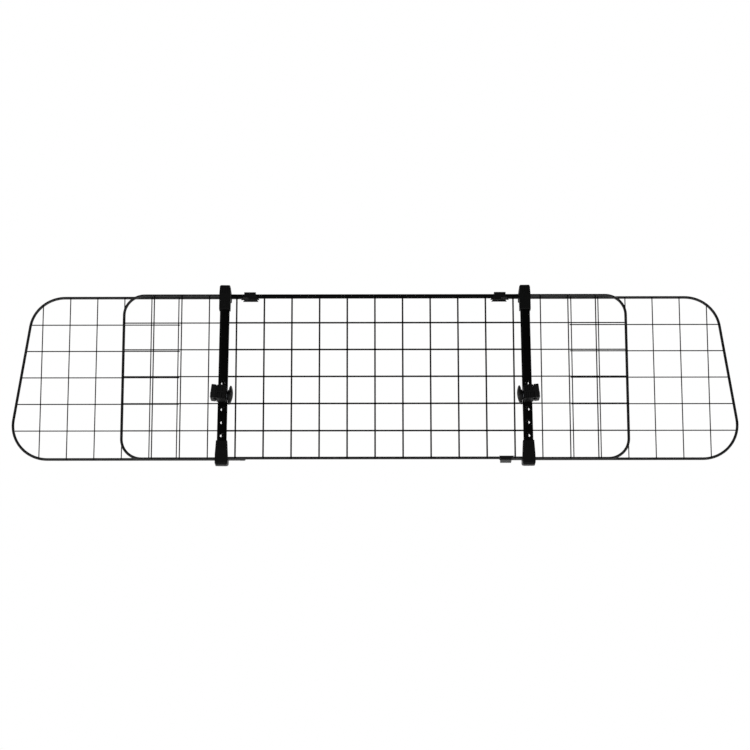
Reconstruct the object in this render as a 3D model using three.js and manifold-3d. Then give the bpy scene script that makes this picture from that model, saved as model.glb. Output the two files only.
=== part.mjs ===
// Car dog guard: welded wire panels on two posts that clamp to a front seat's headrest rods.
// Millimetres, +X to the guard's right as seen from the seats, +Y to the load space, +Z up.
// The origin lies midway between the two headrest rods, level with the bolts that the clamps turn on.
import * as THREE from 'three';
import { mergeVertices } from 'three/addons/utils/BufferGeometryUtils.js';
import Module from 'manifold-3d';

const wasm = await Module();
wasm.setup();

// Clearances
const weldGap = 0.3; // left between pieces that are welded, bolted or seated together
const runGap = 0.5; // left between pieces that slide past each other
const overrun = 1; // a cut runs this far past the face that it opens

// Facets
const wireSides = 6;
const rodSides = 8;
const railSides = 12;
const roundSides = 20;
const cornerStepAngle = Math.PI / 14;
const edgeStepAngle = Math.PI / 6;
const mergeTolerance = 0.0005;

// Whole guard
const frameHeight = 300; // between the centre lines of the top and bottom rails
const postSpacing = 545.2; // between the centre lines of the two posts, level with their clamps

// Middle panel
const meshPitch = 50; // of one grid that runs on across the side panels
const columnGap = 20; // at least, from an upright wire to the rods that close its panel
const rowCount = 5;
const middleWireRadius = 1.5;
const topRailRadius = 4;
const bottomRailRadius = 2.5;
const railOverhang = 9.4; // of the two rails past their end rods
const middleRowLift = -0.3; // of the middle level wire above mid height
const wireOverlapShare = 2 / 3; // of a rod's diameter that an upright wire covers
const wireSink = 0.3; // of one wire into the other where they are welded

// Side panels
const sideHalfWidth = 454.6;
const sideTopRise = 3.6; // of the frame's upper leg above the top rail's centre line
const sideBottomRise = 0.9; // of the frame's lower leg above the bottom rail's centre line
const sideCornerRadius = 36.6;
const sideRodRadius = 2.5;
const sideWireRadius = 1.1;
const sideRowLift = 1.6;
const sideEyeInset = 41.6; // of the pressed eyes' tips, inwards from the posts
const sideEyeLength = 13;
const sideEyeHeight = 6.5;
const sideCrankLength = 8; // over which each leg steps down to the eye's level
const eyeRoundShare = 0.48; // of the eye's height that rounds its corners

// Wings
const wingPitch = 49.2;
const wingColumnCount = 6;
const wingHalfWidth = 639.2; // to the slanted rod's centre line at mid height
const wingLastGap = 37.2; // from the last upright wire to the slanted rod at mid height
const wingRise = 1.4; // of the wing's two legs above the rails' centre lines
const wingSlant = THREE.MathUtils.degToRad(8.2);
const wingTopCornerRadius = 62.8;
const wingBottomCornerRadius = 63.6;
const wingRodRadius = 2.5;
const wingWireRadius = 1;
const wingRowLift = 1.45;
const wingRowOverhang = 3; // of the level wires past the innermost upright wire
const wingPlainTip = 7; // past the pressed eye's tip, of the lower left leg, which has no slide clip
const wingRunClearance = 0.6; // between a wing and the side panel that it slides behind

// Slide clips on the wings' inner ends, placed from the tips of the side panels' pressed eyes
const clipThickness = 1.5;
const topClip = { inner: -15.2, outer: 5.7, lipInner: -22.4, lipOuter: 11.3, lipDrop: 9 };
const bottomClip = { inner: -7, outer: 12.5, lipInner: -10, lipOuter: 17.6, lipDrop: 2.4 };
const clipLegDrop = 5; // of the back leg past the rail's centre line
const clipSlotLength = 12;
const clipSlotHeight = 2.6;
const clipSlotMargin = 1.8; // below the slot and beside it
const clipRodInset = 4; // of the wing rod's tip inside the clip

// Post tubes
const postWidth = 17.5;
const postDepth = 11;
const postWall = 1.5;
const postCornerRadius = 4.5;
const postEndInset = 6; // of the tube's ends inside the rails' centre lines
const postToeIn = THREE.MathUtils.degToRad(0.6); // of the posts' upper ends towards each other
const postHoleRadius = 3.35;
const postHoleCount = 5;
const postHolePitch = 24;
const postFirstHoleDrop = 16; // below mid height
const clampHoleIndex = 1;

// Post caps
const capWall = 1.6;
const capBackWall = 2.6;
const capWidth = 20.2;
const capHeadWidth = 20.7;
const capCrownWidth = 15;
const capRise = 16; // of the crown above the top rail's centre line
const capSleeveReach = 30; // of the sleeve below the top rail's centre line
const capChamfer = 3;
const capBackDrop = 7.2; // of the crown towards its back edge
const capLegDrop = 6.5; // of the back leg below the rails' centre line
const capEdgeRadius = 1.5;
const ribCount = 3;
const ribPitch = 4.4;
const ribGrooveWidth = 1.3;
const ribGrooveDepth = 0.7;
const footWidth = 22.8;
const footNeckWidth = 19.8;
const footDrop = 16; // of the sole below the bottom rail's centre line
const footSleeveReach = 28.5; // of the sleeve above the bottom rail's centre line
const footFlareHeight = 3; // of the widest place above the bottom rail's centre line
const footCornerRadius = 4;
const footBackRise = 9; // of the sole towards its back edge
const footGrooveLow = 15; // above the bottom rail's centre line
const footGrooveHigh = 24;

// Headrest clamps, in their own frame: x outwards, y to the load space from the headrest rod's axis, z up
const clampTilt = THREE.MathUtils.degToRad(6.5); // outer end up
const clampHeight = 24.5;
const bodyInner = -7.8;
const jawPlane = 10.2; // where the closed jaws meet
const bodyFront = -9.5;
const bodyBack = 21.5;
const bodyEdgeRadius = 2;
const grooveFloor = 4; // width of the flat floor of each jaw's groove
const grooveDepth = 4.5;
const jawOuter = 19.7;
const jawBack = 20;
const jawEdgeRadius = 1.6;
const stubEdgeRadius = 0.6;
const pocketDepth = 3.2;
const pocketWall = 1.9;
const pocketRib = 1.9;
const pocketRadius = 1;

// Clamp hardware
const boltRadius = 3;
const screwSetback = 11; // of the clamp bolt's axis behind the headrest rod's axis
const boltHeadRadius = 5;
const boltHeadHeight = 1.8;
const pegRadius = 1.8;
const pegSpread = 9; // of each guide peg from the clamp bolt
const pegLength = 12.5;
const washerRadius = 7;
const washerThickness = 1.2;
const nutAcross = 10; // across its flats
const nutSides = 6;
const nutThickness = 4;
const nutSlotFront = 15.3;
const swivelHeadRadius = 6;
const swivelHeadHeight = 2.6;

// Star knob
const knobRadius = 17.5;
const knobLobes = 7;
const knobLobeDepth = 2.4;
const knobLobePoints = 8; // to each lobe
const knobFlangeRadius = 9.5;
const knobFlangeHeight = 2.4;
const knobRimHeight = 2.6;
const knobHeight = 9.5;
const knobDomePoints = 6;
const knobDomePower = 2.2;
const knobCrownWall = 1.6;

// Places across the guard and levels of its rods, measured from mid height
const postX = postSpacing / 2;
const sideEyeTip = postX - sideEyeInset;
const halfHeight = frameHeight / 2;
const sideTop = halfHeight + sideTopRise;
const sideBottom = -halfHeight + sideBottomRise;
const wingTop = halfHeight + wingRise;
const wingBottom = -halfHeight + wingRise;

// Depth places of the panels, measured back from the middle panel's top rail
const flatShare = Math.cos(Math.PI / wireSides);
const flatHalf = (radius) => radius * flatShare;
const bottomRailY = bottomRailRadius - topRailRadius;
const middleColumnY = -topRailRadius - weldGap - flatHalf(middleWireRadius);
const middleRowY = middleColumnY + 2 * flatHalf(middleWireRadius) - wireSink;
const sideRodY = topRailRadius + weldGap + sideRodRadius;
const sideColumnY = sideRodY - sideRodRadius - weldGap - flatHalf(sideWireRadius);
const sideRowY = sideColumnY + 2 * flatHalf(sideWireRadius) - wireSink;
const wingColumnY = sideRodY + sideRodRadius + wingRunClearance + flatHalf(wingWireRadius);
const wingRowY = wingColumnY + 2 * flatHalf(wingWireRadius) - wireSink;
const wingRodY = wingColumnY + flatHalf(wingWireRadius) + weldGap + wingRodRadius;
const endRodFront = middleRowY + flatHalf(middleWireRadius) + weldGap;
const endRodBack = sideRowY - flatHalf(sideWireRadius) - weldGap;
const endRodY = (endRodFront + endRodBack) / 2;
const endRodRadius = (endRodBack - endRodFront) / 2;

// Depth places of the posts
const hookFront = middleColumnY - flatHalf(middleWireRadius) - runGap;
const hookBack = wingRodY + wingRodRadius + runGap;
const postBack = hookFront - capWall - weldGap;
const postFront = postBack - postDepth;
const capFront = postFront - weldGap - capWall;

// Where the panel stands from the origin
const panelSetback = bodyBack + weldGap - postFront;
const clampHoleDrop = postFirstHoleDrop + clampHoleIndex * postHolePitch;
const panelLift = clampHoleDrop;

// Geometry to solid and back
function solidOf(geometry) {
  const bare = geometry.index ? geometry.toNonIndexed() : geometry;
  bare.deleteAttribute('normal');
  bare.deleteAttribute('uv');
  const merged = mergeVertices(bare, mergeTolerance);
  const vertProperties = new Float32Array(merged.attributes.position.array);
  const triVerts = new Uint32Array(merged.index.array);
  const made = new wasm.Manifold(new wasm.Mesh({ numProp: 3, vertProperties, triVerts }));
  if (made.volume() > 0) return made;
  const turned = triVerts.map((_, i) => triVerts[i - (i % 3) + 2 - (i % 3)]);
  return new wasm.Manifold(new wasm.Mesh({ numProp: 3, vertProperties, triVerts: turned }));
}

function geometryOf(solid) {
  const { vertProperties, triVerts } = solid.getMesh();
  const geometry = new THREE.BufferGeometry();
  geometry.setAttribute('position', new THREE.BufferAttribute(vertProperties, 3));
  geometry.setIndex(new THREE.BufferAttribute(triVerts, 1));
  geometry.computeVertexNormals();
  return geometry;
}

const joined = (solids) => solids.reduce((whole, piece) => whole.add(piece));
const cutBy = (solid, cuts) => cuts.reduce((whole, cut) => whole.subtract(cut), solid);

// Round bars: an upright one, a level one along X and one along Y
function barZ(x, y, low, high, radius, sides) {
  const bar = new THREE.CylinderGeometry(radius, radius, high - low, sides, 1, false, Math.PI / sides);
  bar.rotateX(Math.PI / 2);
  bar.translate(x, y, (low + high) / 2);
  return solidOf(bar);
}

function barX(y, z, from, to, radius, sides) {
  const bar = new THREE.CylinderGeometry(radius, radius, Math.abs(to - from), sides);
  bar.rotateZ(-Math.PI / 2);
  bar.translate((from + to) / 2, y, z);
  return solidOf(bar);
}

function barY(x, z, from, to, radius, sides) {
  const bar = new THREE.CylinderGeometry(radius, radius, to - from, sides);
  bar.translate(x, (from + to) / 2, z);
  return solidOf(bar);
}

// Stations along a line with rounded corners, each corner given as [a, b, radius]
function roundedLine(corners, stepAngle, closed) {
  const stations = [];
  const count = corners.length;
  const at = (i) => new THREE.Vector2(...corners[(i + count) % count].slice(0, 2));
  for (let i = 0; i < count; i += 1) {
    const here = at(i);
    const radius = corners[i][2] ?? 0;
    const before = here.clone().sub(at(i - 1)).normalize();
    const after = at(i + 1).sub(here).normalize();
    const isEnd = !closed && (i === 0 || i === count - 1);
    if (isEnd) {
      stations.push({ point: here, tangent: i === 0 ? after : before });
      continue;
    }
    if (radius === 0) {
      stations.push({ point: here, tangent: before.clone().add(after).normalize() });
      continue;
    }
    const turn = Math.acos(THREE.MathUtils.clamp(before.dot(after), -1, 1));
    const side = Math.sign(before.cross(after));
    const inward = new THREE.Vector2(-before.y, before.x).multiplyScalar(side);
    const start = here.clone().addScaledVector(before, -radius * Math.tan(turn / 2));
    const centre = start.clone().addScaledVector(inward, radius);
    const steps = Math.max(1, Math.ceil(turn / stepAngle));
    for (let k = 0; k <= steps; k += 1) {
      const angle = (turn * k) / steps;
      const point = centre.clone();
      point.addScaledVector(inward, -radius * Math.cos(angle));
      point.addScaledVector(before, radius * Math.sin(angle));
      const tangent = before.clone().multiplyScalar(Math.cos(angle));
      tangent.addScaledVector(inward, Math.sin(angle));
      stations.push({ point, tangent });
    }
  }
  return stations;
}

const roundedOutline = (corners) =>
  roundedLine(corners, edgeStepAngle, true).map((station) => station.point);

// A curve that keeps exactly the stations of a bent rod, in the plane y
class BentLine extends THREE.Curve {
  constructor(stations, y) {
    super();
    this.stations = stations;
    this.y = y;
  }

  station(share) {
    return this.stations[Math.round(share * (this.stations.length - 1))];
  }

  getPointAt(share) {
    const { point } = this.station(share);
    return new THREE.Vector3(point.x, this.y, point.y);
  }

  getTangentAt(share) {
    const { tangent } = this.station(share);
    return new THREE.Vector3(tangent.x, 0, tangent.y);
  }
}

function bentRod(stations, y, radius) {
  const section = new THREE.Shape();
  section.absarc(0, 0, radius, 0, 2 * Math.PI);
  const ring = section.getSpacedPoints(rodSides).slice(0, rodSides);
  const extrudePath = new BentLine(stations, y);
  const steps = stations.length - 1;
  return solidOf(new THREE.ExtrudeGeometry(new THREE.Shape(ring), { steps, extrudePath }));
}

// Places where a bent rod's centre line crosses a given x ('x') or a given height ('y')
function crossings(stations, axis, value) {
  const other = axis === 'x' ? 'y' : 'x';
  const found = [];
  for (let i = 1; i < stations.length; i += 1) {
    const a = stations[i - 1].point;
    const b = stations[i].point;
    const share = (value - a[axis]) / (b[axis] - a[axis]);
    if (share >= 0 && share <= 1) found.push(a[other] + share * (b[other] - a[other]));
  }
  return found;
}

// Prisms: an outline pushed along an axis
const axisTurns = {
  x: new THREE.Matrix4().makeBasis(
    new THREE.Vector3(0, 1, 0), new THREE.Vector3(0, 0, 1), new THREE.Vector3(1, 0, 0)),
  y: new THREE.Matrix4().makeBasis(
    new THREE.Vector3(1, 0, 0), new THREE.Vector3(0, 0, 1), new THREE.Vector3(0, -1, 0)),
  z: new THREE.Matrix4(),
};

function prism(points, axis, from, to) {
  const shape = new THREE.Shape(points);
  const geometry = new THREE.ExtrudeGeometry(shape, { depth: to - from, bevelEnabled: false });
  geometry.applyMatrix4(axisTurns[axis]);
  const start = axis === 'y' ? to : from;
  geometry.translate(axis === 'x' ? start : 0, axis === 'y' ? start : 0, axis === 'z' ? start : 0);
  return solidOf(geometry);
}

// Rectangle from its low and high corners, with one radius at all four
const rectangle = (left, low, right, high, radius = 0) => roundedOutline([
  [left, low, radius], [right, low, radius], [right, high, radius], [left, high, radius]]);

// Welded wire mesh from its upright and level wires
function wireMesh(columns, rows, columnY, rowY, radius) {
  const uprights = columns.map(({ x, low, high }) => barZ(x, columnY, low, high, radius, wireSides));
  const levels = rows.map(({ z, from, to }) => barX(rowY, z, from, to, radius, wireSides));
  return joined([...uprights, ...levels]);
}

const rowHeights = (pitch, lift) =>
  Array.from({ length: rowCount }, (_, i) => lift + (i - (rowCount - 1) / 2) * pitch);

// Places of the upright wires between two rods, on the grid that the panels share
function gridColumns(from, to) {
  const first = Math.ceil((from + columnGap) / meshPitch);
  const last = Math.floor((to - columnGap) / meshPitch);
  return Array.from({ length: last - first + 1 }, (_, i) => (first + i) * meshPitch);
}

// How far an upright wire runs past a rod's centre line
const overlapPast = (radius) => radius * (2 * wireOverlapShare - 1);

// Middle panel
const middleHalfLength = postX + railOverhang;
const middleTopRail = () =>
  barX(0, halfHeight, -middleHalfLength, middleHalfLength, topRailRadius, railSides);
const middleBottomRail = () =>
  barX(bottomRailY, -halfHeight, -middleHalfLength, middleHalfLength, bottomRailRadius, railSides);
const endRod = () => barZ(
  postX, endRodY, -halfHeight + bottomRailRadius + weldGap, halfHeight - topRailRadius - weldGap,
  endRodRadius, rodSides);

function middleMesh() {
  const columns = gridColumns(-postX, postX).map((x) => ({
    x,
    low: -halfHeight - overlapPast(bottomRailRadius),
    high: halfHeight + overlapPast(topRailRadius),
  }));
  const reach = postX + overlapPast(endRodRadius);
  const rows = rowHeights(meshPitch, middleRowLift).map((z) => ({ z, from: -reach, to: reach }));
  return wireMesh(columns, rows, middleColumnY, middleRowY, middleWireRadius);
}

// Side panels, built for the right of the guard
const sideEyeMiddle = sideEyeTip + sideEyeLength / 2;
const sideCrankInner = sideEyeTip + sideEyeLength;
const sideCrankOuter = sideCrankInner + sideCrankLength;
const sideLine = () => roundedLine([
  [sideEyeMiddle, halfHeight], [sideCrankInner, halfHeight], [sideCrankOuter, sideTop],
  [sideHalfWidth, sideTop, sideCornerRadius], [sideHalfWidth, sideBottom, sideCornerRadius],
  [sideCrankOuter, sideBottom], [sideCrankInner, -halfHeight], [sideEyeMiddle, -halfHeight]],
cornerStepAngle, false);

// The pressed eye at a rod's tip, which reaches forward to the rail that it is welded to
function pressedEye(z, railBack) {
  const outline = rectangle(
    sideEyeTip, z - sideEyeHeight / 2, sideEyeTip + sideEyeLength, z + sideEyeHeight / 2,
    sideEyeHeight * eyeRoundShare);
  return prism(outline, 'y', railBack + weldGap, sideRodY);
}

function sideFrame() {
  return joined([
    bentRod(sideLine(), sideRodY, sideRodRadius),
    pressedEye(halfHeight, topRailRadius),
    pressedEye(-halfHeight, bottomRailY + bottomRailRadius)]);
}

// The x at which a level wire stops against the inner side of a bent rod
function buttAgainst(stations, z, wireRadius, rodRadius) {
  const [low, high] = [z - wireRadius, z + wireRadius].map((level) =>
    Math.max(...crossings(stations, 'y', level)));
  const lean = Math.hypot(high - low, 2 * wireRadius) / (2 * wireRadius);
  return Math.min(low, high) - rodRadius * lean - weldGap;
}

// An upright wire at x, welded to the upper and lower legs of a bent rod
function uprightAt(x, stations, rodRadius) {
  const heights = crossings(stations, 'x', x);
  const past = overlapPast(rodRadius);
  return { x, low: Math.min(...heights) - past, high: Math.max(...heights) + past };
}

function sideMesh() {
  const line = sideLine();
  const columns = gridColumns(postX, sideHalfWidth).map((x) => uprightAt(x, line, sideRodRadius));
  const rows = rowHeights(meshPitch, sideRowLift).map((z) => ({
    z,
    from: postX - overlapPast(endRodRadius),
    to: buttAgainst(line, z, sideWireRadius, sideRodRadius),
  }));
  return wireMesh(columns, rows, sideColumnY, sideRowY, sideWireRadius);
}

// Wings, built for the right of the guard
const slantOffset = (z) => wingHalfWidth - z * Math.tan(wingSlant);
const clippedTip = (clip) => sideEyeTip + clip.inner + clipRodInset;
const wingLine = (tipBottom) => roundedLine([
  [clippedTip(topClip), wingTop],
  [slantOffset(wingTop), wingTop, wingTopCornerRadius],
  [slantOffset(wingBottom), wingBottom, wingBottomCornerRadius],
  [tipBottom, wingBottom]], cornerStepAngle, false);

const wingTipBottom = { right: clippedTip(bottomClip), left: sideEyeTip + wingPlainTip };

function wingMesh() {
  const line = wingLine(wingTipBottom.left);
  const outermost = wingHalfWidth - wingLastGap;
  const columns = Array.from({ length: wingColumnCount }, (_, i) =>
    uprightAt(outermost - i * wingPitch, line, wingRodRadius));
  const innermost = outermost - (wingColumnCount - 1) * wingPitch;
  const rows = rowHeights(wingPitch, wingRowLift).map((z) => ({
    z,
    from: innermost - wingRowOverhang,
    to: buttAgainst(line, z, wingWireRadius, wingRodRadius),
  }));
  return wireMesh(columns, rows, wingColumnY, wingRowY, wingWireRadius);
}

// A slide clip: a pressed channel over the middle rail, with the wing rod welded inside its back leg.
// up is 1 for the top rail and -1 for the bottom one
function slideClip(clip, up, railRadius) {
  const [inner, outer, lipInner, lipOuter] =
    [clip.inner, clip.outer, clip.lipInner, clip.lipOuter].map((place) => sideEyeTip + place);
  const { lipDrop } = clip;
  const level = (height) => up * (halfHeight + height);
  const ceiling = Math.max(railRadius, sideEyeHeight / 2, up * wingRise + wingRodRadius) + runGap;
  const front = hookFront;
  const back = wingRodY + wingRodRadius + weldGap;
  const profile = [
    [front - clipThickness, level(-lipDrop)], [front, level(-lipDrop)], [front, level(ceiling)],
    [back, level(ceiling)], [back, level(-clipLegDrop)], [back + clipThickness, level(-clipLegDrop)],
    [back + clipThickness, level(ceiling + clipThickness), clipThickness],
    [front - clipThickness, level(ceiling + clipThickness), clipThickness]];
  const channel = prism(roundedOutline(profile), 'x', lipInner, lipOuter);
  const face = prism(roundedOutline([
    [inner, level(ceiling + clipThickness + overrun)], [outer, level(ceiling + clipThickness + overrun)],
    [outer, level(0)], [lipOuter, level(-lipDrop)], [lipInner, level(-lipDrop)], [inner, level(0)]]),
  'y', front - clipThickness, back + clipThickness + overrun);
  return channel.intersect(face);
}

function topSlideClip() {
  const { lipOuter, lipDrop } = topClip;
  const slotLow = halfHeight - lipDrop + clipSlotMargin;
  const slotEnd = sideEyeTip + lipOuter - clipSlotMargin;
  const slot = prism(
    rectangle(slotEnd - clipSlotLength, slotLow, slotEnd, slotLow + clipSlotHeight, clipThickness / 2),
    'y', hookFront - clipThickness - overrun, hookFront + overrun);
  return slideClip(topClip, 1, topRailRadius).subtract(slot);
}

const bottomSlideClip = () => slideClip(bottomClip, -1, bottomRailRadius);

// Post tube with its row of holes, about the post's own centre line
function postTube() {
  const half = postWidth / 2;
  const length = [-halfHeight + postEndInset, halfHeight - postEndInset];
  const outer = prism(rectangle(-half, postFront, half, postBack, postCornerRadius), 'z', ...length);
  const bore = prism(
    rectangle(-half + postWall, postFront + postWall, half - postWall, postBack - postWall,
      postCornerRadius - postWall),
    'z', length[0] - overrun, length[1] + overrun);
  const holes = Array.from({ length: postHoleCount }, (_, i) => barY(
    0, -postFirstHoleDrop - i * postHolePitch, postFront - overrun, postBack + overrun,
    postHoleRadius, roundSides));
  return cutBy(outer, [bore, ...holes]);
}

// The socket that a post tube seats in, open at one end
const tubeSocket = (low, high) => prism(
  rectangle(-postWidth / 2 - weldGap, postFront - weldGap, postWidth / 2 + weldGap, postBack + weldGap,
    postCornerRadius + weldGap),
  'z', low, high);

// Shallow upright grooves in a cap's front face
const frontGrooves = (front, low, high) => Array.from({ length: ribCount }, (_, i) => {
  const x = (i - (ribCount - 1) / 2) * ribPitch;
  return prism(
    rectangle(x - ribGrooveWidth / 2, low, x + ribGrooveWidth / 2, high),
    'y', front - overrun, front + ribGrooveDepth);
});

function topCap() {
  const crown = halfHeight + capRise;
  const sleeveEnd = halfHeight - capSleeveReach;
  const ceiling = halfHeight + runGap + Math.max(
    topRailRadius, sideTopRise + sideRodRadius, wingRise + wingRodRadius);
  const back = hookBack + capBackWall;
  const side = roundedOutline([
    [capFront, sleeveEnd, capEdgeRadius], [capFront, crown, capChamfer], [hookFront, crown, capChamfer],
    [back, crown - capBackDrop, capEdgeRadius], [back, halfHeight - capLegDrop],
    [hookBack, halfHeight - capLegDrop], [hookBack, ceiling], [hookFront, ceiling],
    [hookFront, sleeveEnd]]);
  const face = roundedOutline([
    [-capWidth / 2, sleeveEnd], [capWidth / 2, sleeveEnd], [capHeadWidth / 2, halfHeight],
    [capHeadWidth / 2 - capEdgeRadius / 2, crown - capChamfer, capEdgeRadius],
    [capCrownWidth / 2, crown], [-capCrownWidth / 2, crown],
    [-capHeadWidth / 2 + capEdgeRadius / 2, crown - capChamfer, capEdgeRadius],
    [-capHeadWidth / 2, halfHeight]]);
  const form = prism(side, 'x', -capHeadWidth / 2, capHeadWidth / 2).intersect(
    prism(face, 'y', capFront - overrun, back + overrun));
  const socket = tubeSocket(sleeveEnd - overrun, halfHeight - postEndInset + weldGap);
  return cutBy(form, [socket, ...frontGrooves(capFront, halfHeight, crown - capChamfer)]);
}

function footCap() {
  const sole = -halfHeight - footDrop;
  const sleeveEnd = -halfHeight + footSleeveReach;
  const floor = -halfHeight - runGap - Math.max(
    bottomRailRadius, sideRodRadius - sideBottomRise, wingRodRadius - wingRise);
  const back = hookBack + capBackWall;
  const side = roundedOutline([
    [capFront, sleeveEnd, capEdgeRadius], [hookFront, sleeveEnd], [hookFront, floor], [hookBack, floor],
    [hookBack, -halfHeight + capLegDrop], [back, -halfHeight + capLegDrop],
    [back, sole + footBackRise, capEdgeRadius], [hookFront, sole], [capFront, sole, footCornerRadius]]);
  const face = roundedOutline([
    [-footNeckWidth / 2, sleeveEnd], [-footWidth / 2, -halfHeight + footFlareHeight, footCornerRadius],
    [-footWidth / 2, sole, footCornerRadius], [footWidth / 2, sole, footCornerRadius],
    [footWidth / 2, -halfHeight + footFlareHeight, footCornerRadius], [footNeckWidth / 2, sleeveEnd]]);
  const form = prism(side, 'x', -footWidth / 2, footWidth / 2).intersect(
    prism(face, 'y', capFront - overrun, back + overrun));
  const socket = tubeSocket(-halfHeight + postEndInset - weldGap, sleeveEnd + overrun);
  const grooves = frontGrooves(capFront, -halfHeight + footGrooveLow, -halfHeight + footGrooveHigh);
  return cutBy(form, [socket, ...grooves]);
}

// A round-headed bolt along the local z axis, head down at zero and shank rising to the given length
function roundHeadBolt(headRadius, headHeight, shankRadius, length) {
  const crown = Array.from({ length: knobDomePoints + 1 }, (_, i) => {
    const angle = (i / knobDomePoints) * (Math.PI / 2);
    return new THREE.Vector2(headRadius * Math.sin(angle), -headHeight * Math.cos(angle));
  });
  const profile = [
    ...crown, new THREE.Vector2(shankRadius, 0), new THREE.Vector2(shankRadius, length),
    new THREE.Vector2(0, length)];
  const bolt = new THREE.LatheGeometry(profile, roundSides);
  bolt.rotateX(Math.PI / 2);
  return bolt;
}

// Swivel bolt: from behind the post, through both walls, into the clamp's nut
function swivelBolt() {
  const head = postBack + weldGap;
  const tip = nutSlotFront + weldGap - panelSetback;
  const bolt = roundHeadBolt(swivelHeadRadius, swivelHeadHeight, boltRadius, head - tip);
  bolt.rotateX(Math.PI / 2);
  bolt.translate(0, head, -clampHoleDrop);
  return solidOf(bolt);
}

// Headrest clamp, built for the right of the guard
const clampHalf = clampHeight / 2;
const seatFloor = jawPlane - weldGap / 2 - grooveDepth;
const mouthHalf = grooveFloor / 2 + grooveDepth;
const boltClear = boltRadius + weldGap;
const nutCornerRadius = nutAcross / 2 / Math.cos(Math.PI / nutSides);

// The face of a jaw with its groove, from front to back; out is 1 on the body and -1 on the jaw
const jawFace = (out) => {
  const face = jawPlane - (out * weldGap) / 2;
  const floor = face - out * grooveDepth;
  return [
    [face, -mouthHalf], [floor, -grooveFloor / 2], [floor, grooveFloor / 2], [face, mouthHalf]];
};

function clampBody() {
  const outer = jawPlane - weldGap / 2;
  const outline = roundedOutline([
    [bodyInner, bodyFront, bodyEdgeRadius], [outer, bodyFront, stubEdgeRadius], ...jawFace(1),
    [outer, bodyBack, stubEdgeRadius], [bodyInner, bodyBack, stubEdgeRadius]]);
  const face = rectangle(bodyInner, -clampHalf, outer, clampHalf, bodyEdgeRadius);
  const block = prism(outline, 'z', -clampHalf, clampHalf).intersect(
    prism(face, 'y', bodyFront - overrun, bodyBack + overrun));
  const screwHole = barX(screwSetback, 0, bodyInner - overrun, outer + overrun, boltClear, roundSides);
  const swivelHole = barY(0, 0, nutSlotFront, bodyBack + overrun, boltClear, roundSides);
  const nutHalf = nutAcross / 2 + weldGap;
  const nutCorner = nutCornerRadius + weldGap;
  const nutSlot = prism(
    rectangle(nutSlotFront, -nutHalf, nutSlotFront + nutThickness + 2 * weldGap, nutHalf),
    'x', bodyInner - overrun, nutCorner);
  const pegHoles = [-1, 1].map((up) => barX(
    screwSetback, up * pegSpread, outer - pegLength - weldGap, outer + overrun, pegRadius + weldGap,
    roundSides));
  return cutBy(block, [screwHole, swivelHole, nutSlot, ...pegHoles, ...frontPockets(outer)]);
}

// Four coring pockets in the body's front face, two by two
function frontPockets(outer) {
  const middle = (bodyInner + outer) / 2;
  return [-1, 1].flatMap((across) => [-1, 1].map((up) => {
    const x = [middle + (across * pocketRib) / 2, across > 0 ? outer - pocketWall : bodyInner + pocketWall];
    const z = [(up * pocketRib) / 2, up * (clampHalf - pocketWall)];
    return prism(
      rectangle(Math.min(...x), Math.min(...z), Math.max(...x), Math.max(...z), pocketRadius),
      'y', bodyFront - overrun, bodyFront + pocketDepth);
  }));
}

function clampJaw() {
  const inner = jawPlane + weldGap / 2;
  const outline = roundedOutline([
    [inner, bodyFront, stubEdgeRadius], [jawOuter, bodyFront, jawEdgeRadius],
    [jawOuter, jawBack, jawEdgeRadius], [inner, jawBack, stubEdgeRadius], ...jawFace(-1).reverse()]);
  const face = rectangle(inner, -clampHalf, jawOuter, clampHalf, jawEdgeRadius);
  const block = prism(outline, 'z', -clampHalf, clampHalf).intersect(
    prism(face, 'y', bodyFront - overrun, jawBack + overrun));
  const hole = barX(screwSetback, 0, inner - overrun, jawOuter + overrun, boltClear, roundSides);
  const pegs = [-1, 1].map((up) => barX(
    screwSetback, up * pegSpread, inner - pegLength, inner + overrun, pegRadius, roundSides));
  return joined([block.subtract(hole), ...pegs]);
}

// Clamp bolt: its low round head bears on the moving jaw and its shank ends inside the knob
const washerFace = bodyInner - weldGap;
const knobBase = washerFace - washerThickness - weldGap;
const knobBoreEnd = knobBase - knobHeight + knobCrownWall;

function clampBolt() {
  const head = jawOuter + weldGap;
  const tip = knobBoreEnd + weldGap;
  const bolt = roundHeadBolt(boltHeadRadius, boltHeadHeight, boltRadius, head - tip);
  bolt.rotateY(-Math.PI / 2);
  bolt.translate(head, screwSetback, 0);
  return solidOf(bolt);
}

function clampWasher() {
  const ring = barX(
    screwSetback, 0, washerFace - washerThickness, washerFace, washerRadius, roundSides);
  return ring.subtract(barX(
    screwSetback, 0, washerFace - washerThickness - overrun, washerFace + overrun, boltClear, roundSides));
}

function swivelNut() {
  const front = nutSlotFront + weldGap;
  const back = front + nutThickness;
  const hexagon = Array.from({ length: nutSides }, (_, i) => {
    const angle = (i / nutSides) * 2 * Math.PI;
    return new THREE.Vector2(nutCornerRadius * Math.cos(angle), nutCornerRadius * Math.sin(angle));
  });
  return prism(hexagon, 'y', front, back).subtract(
    barY(0, 0, front - overrun, back + overrun, boltClear, roundSides));
}

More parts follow.
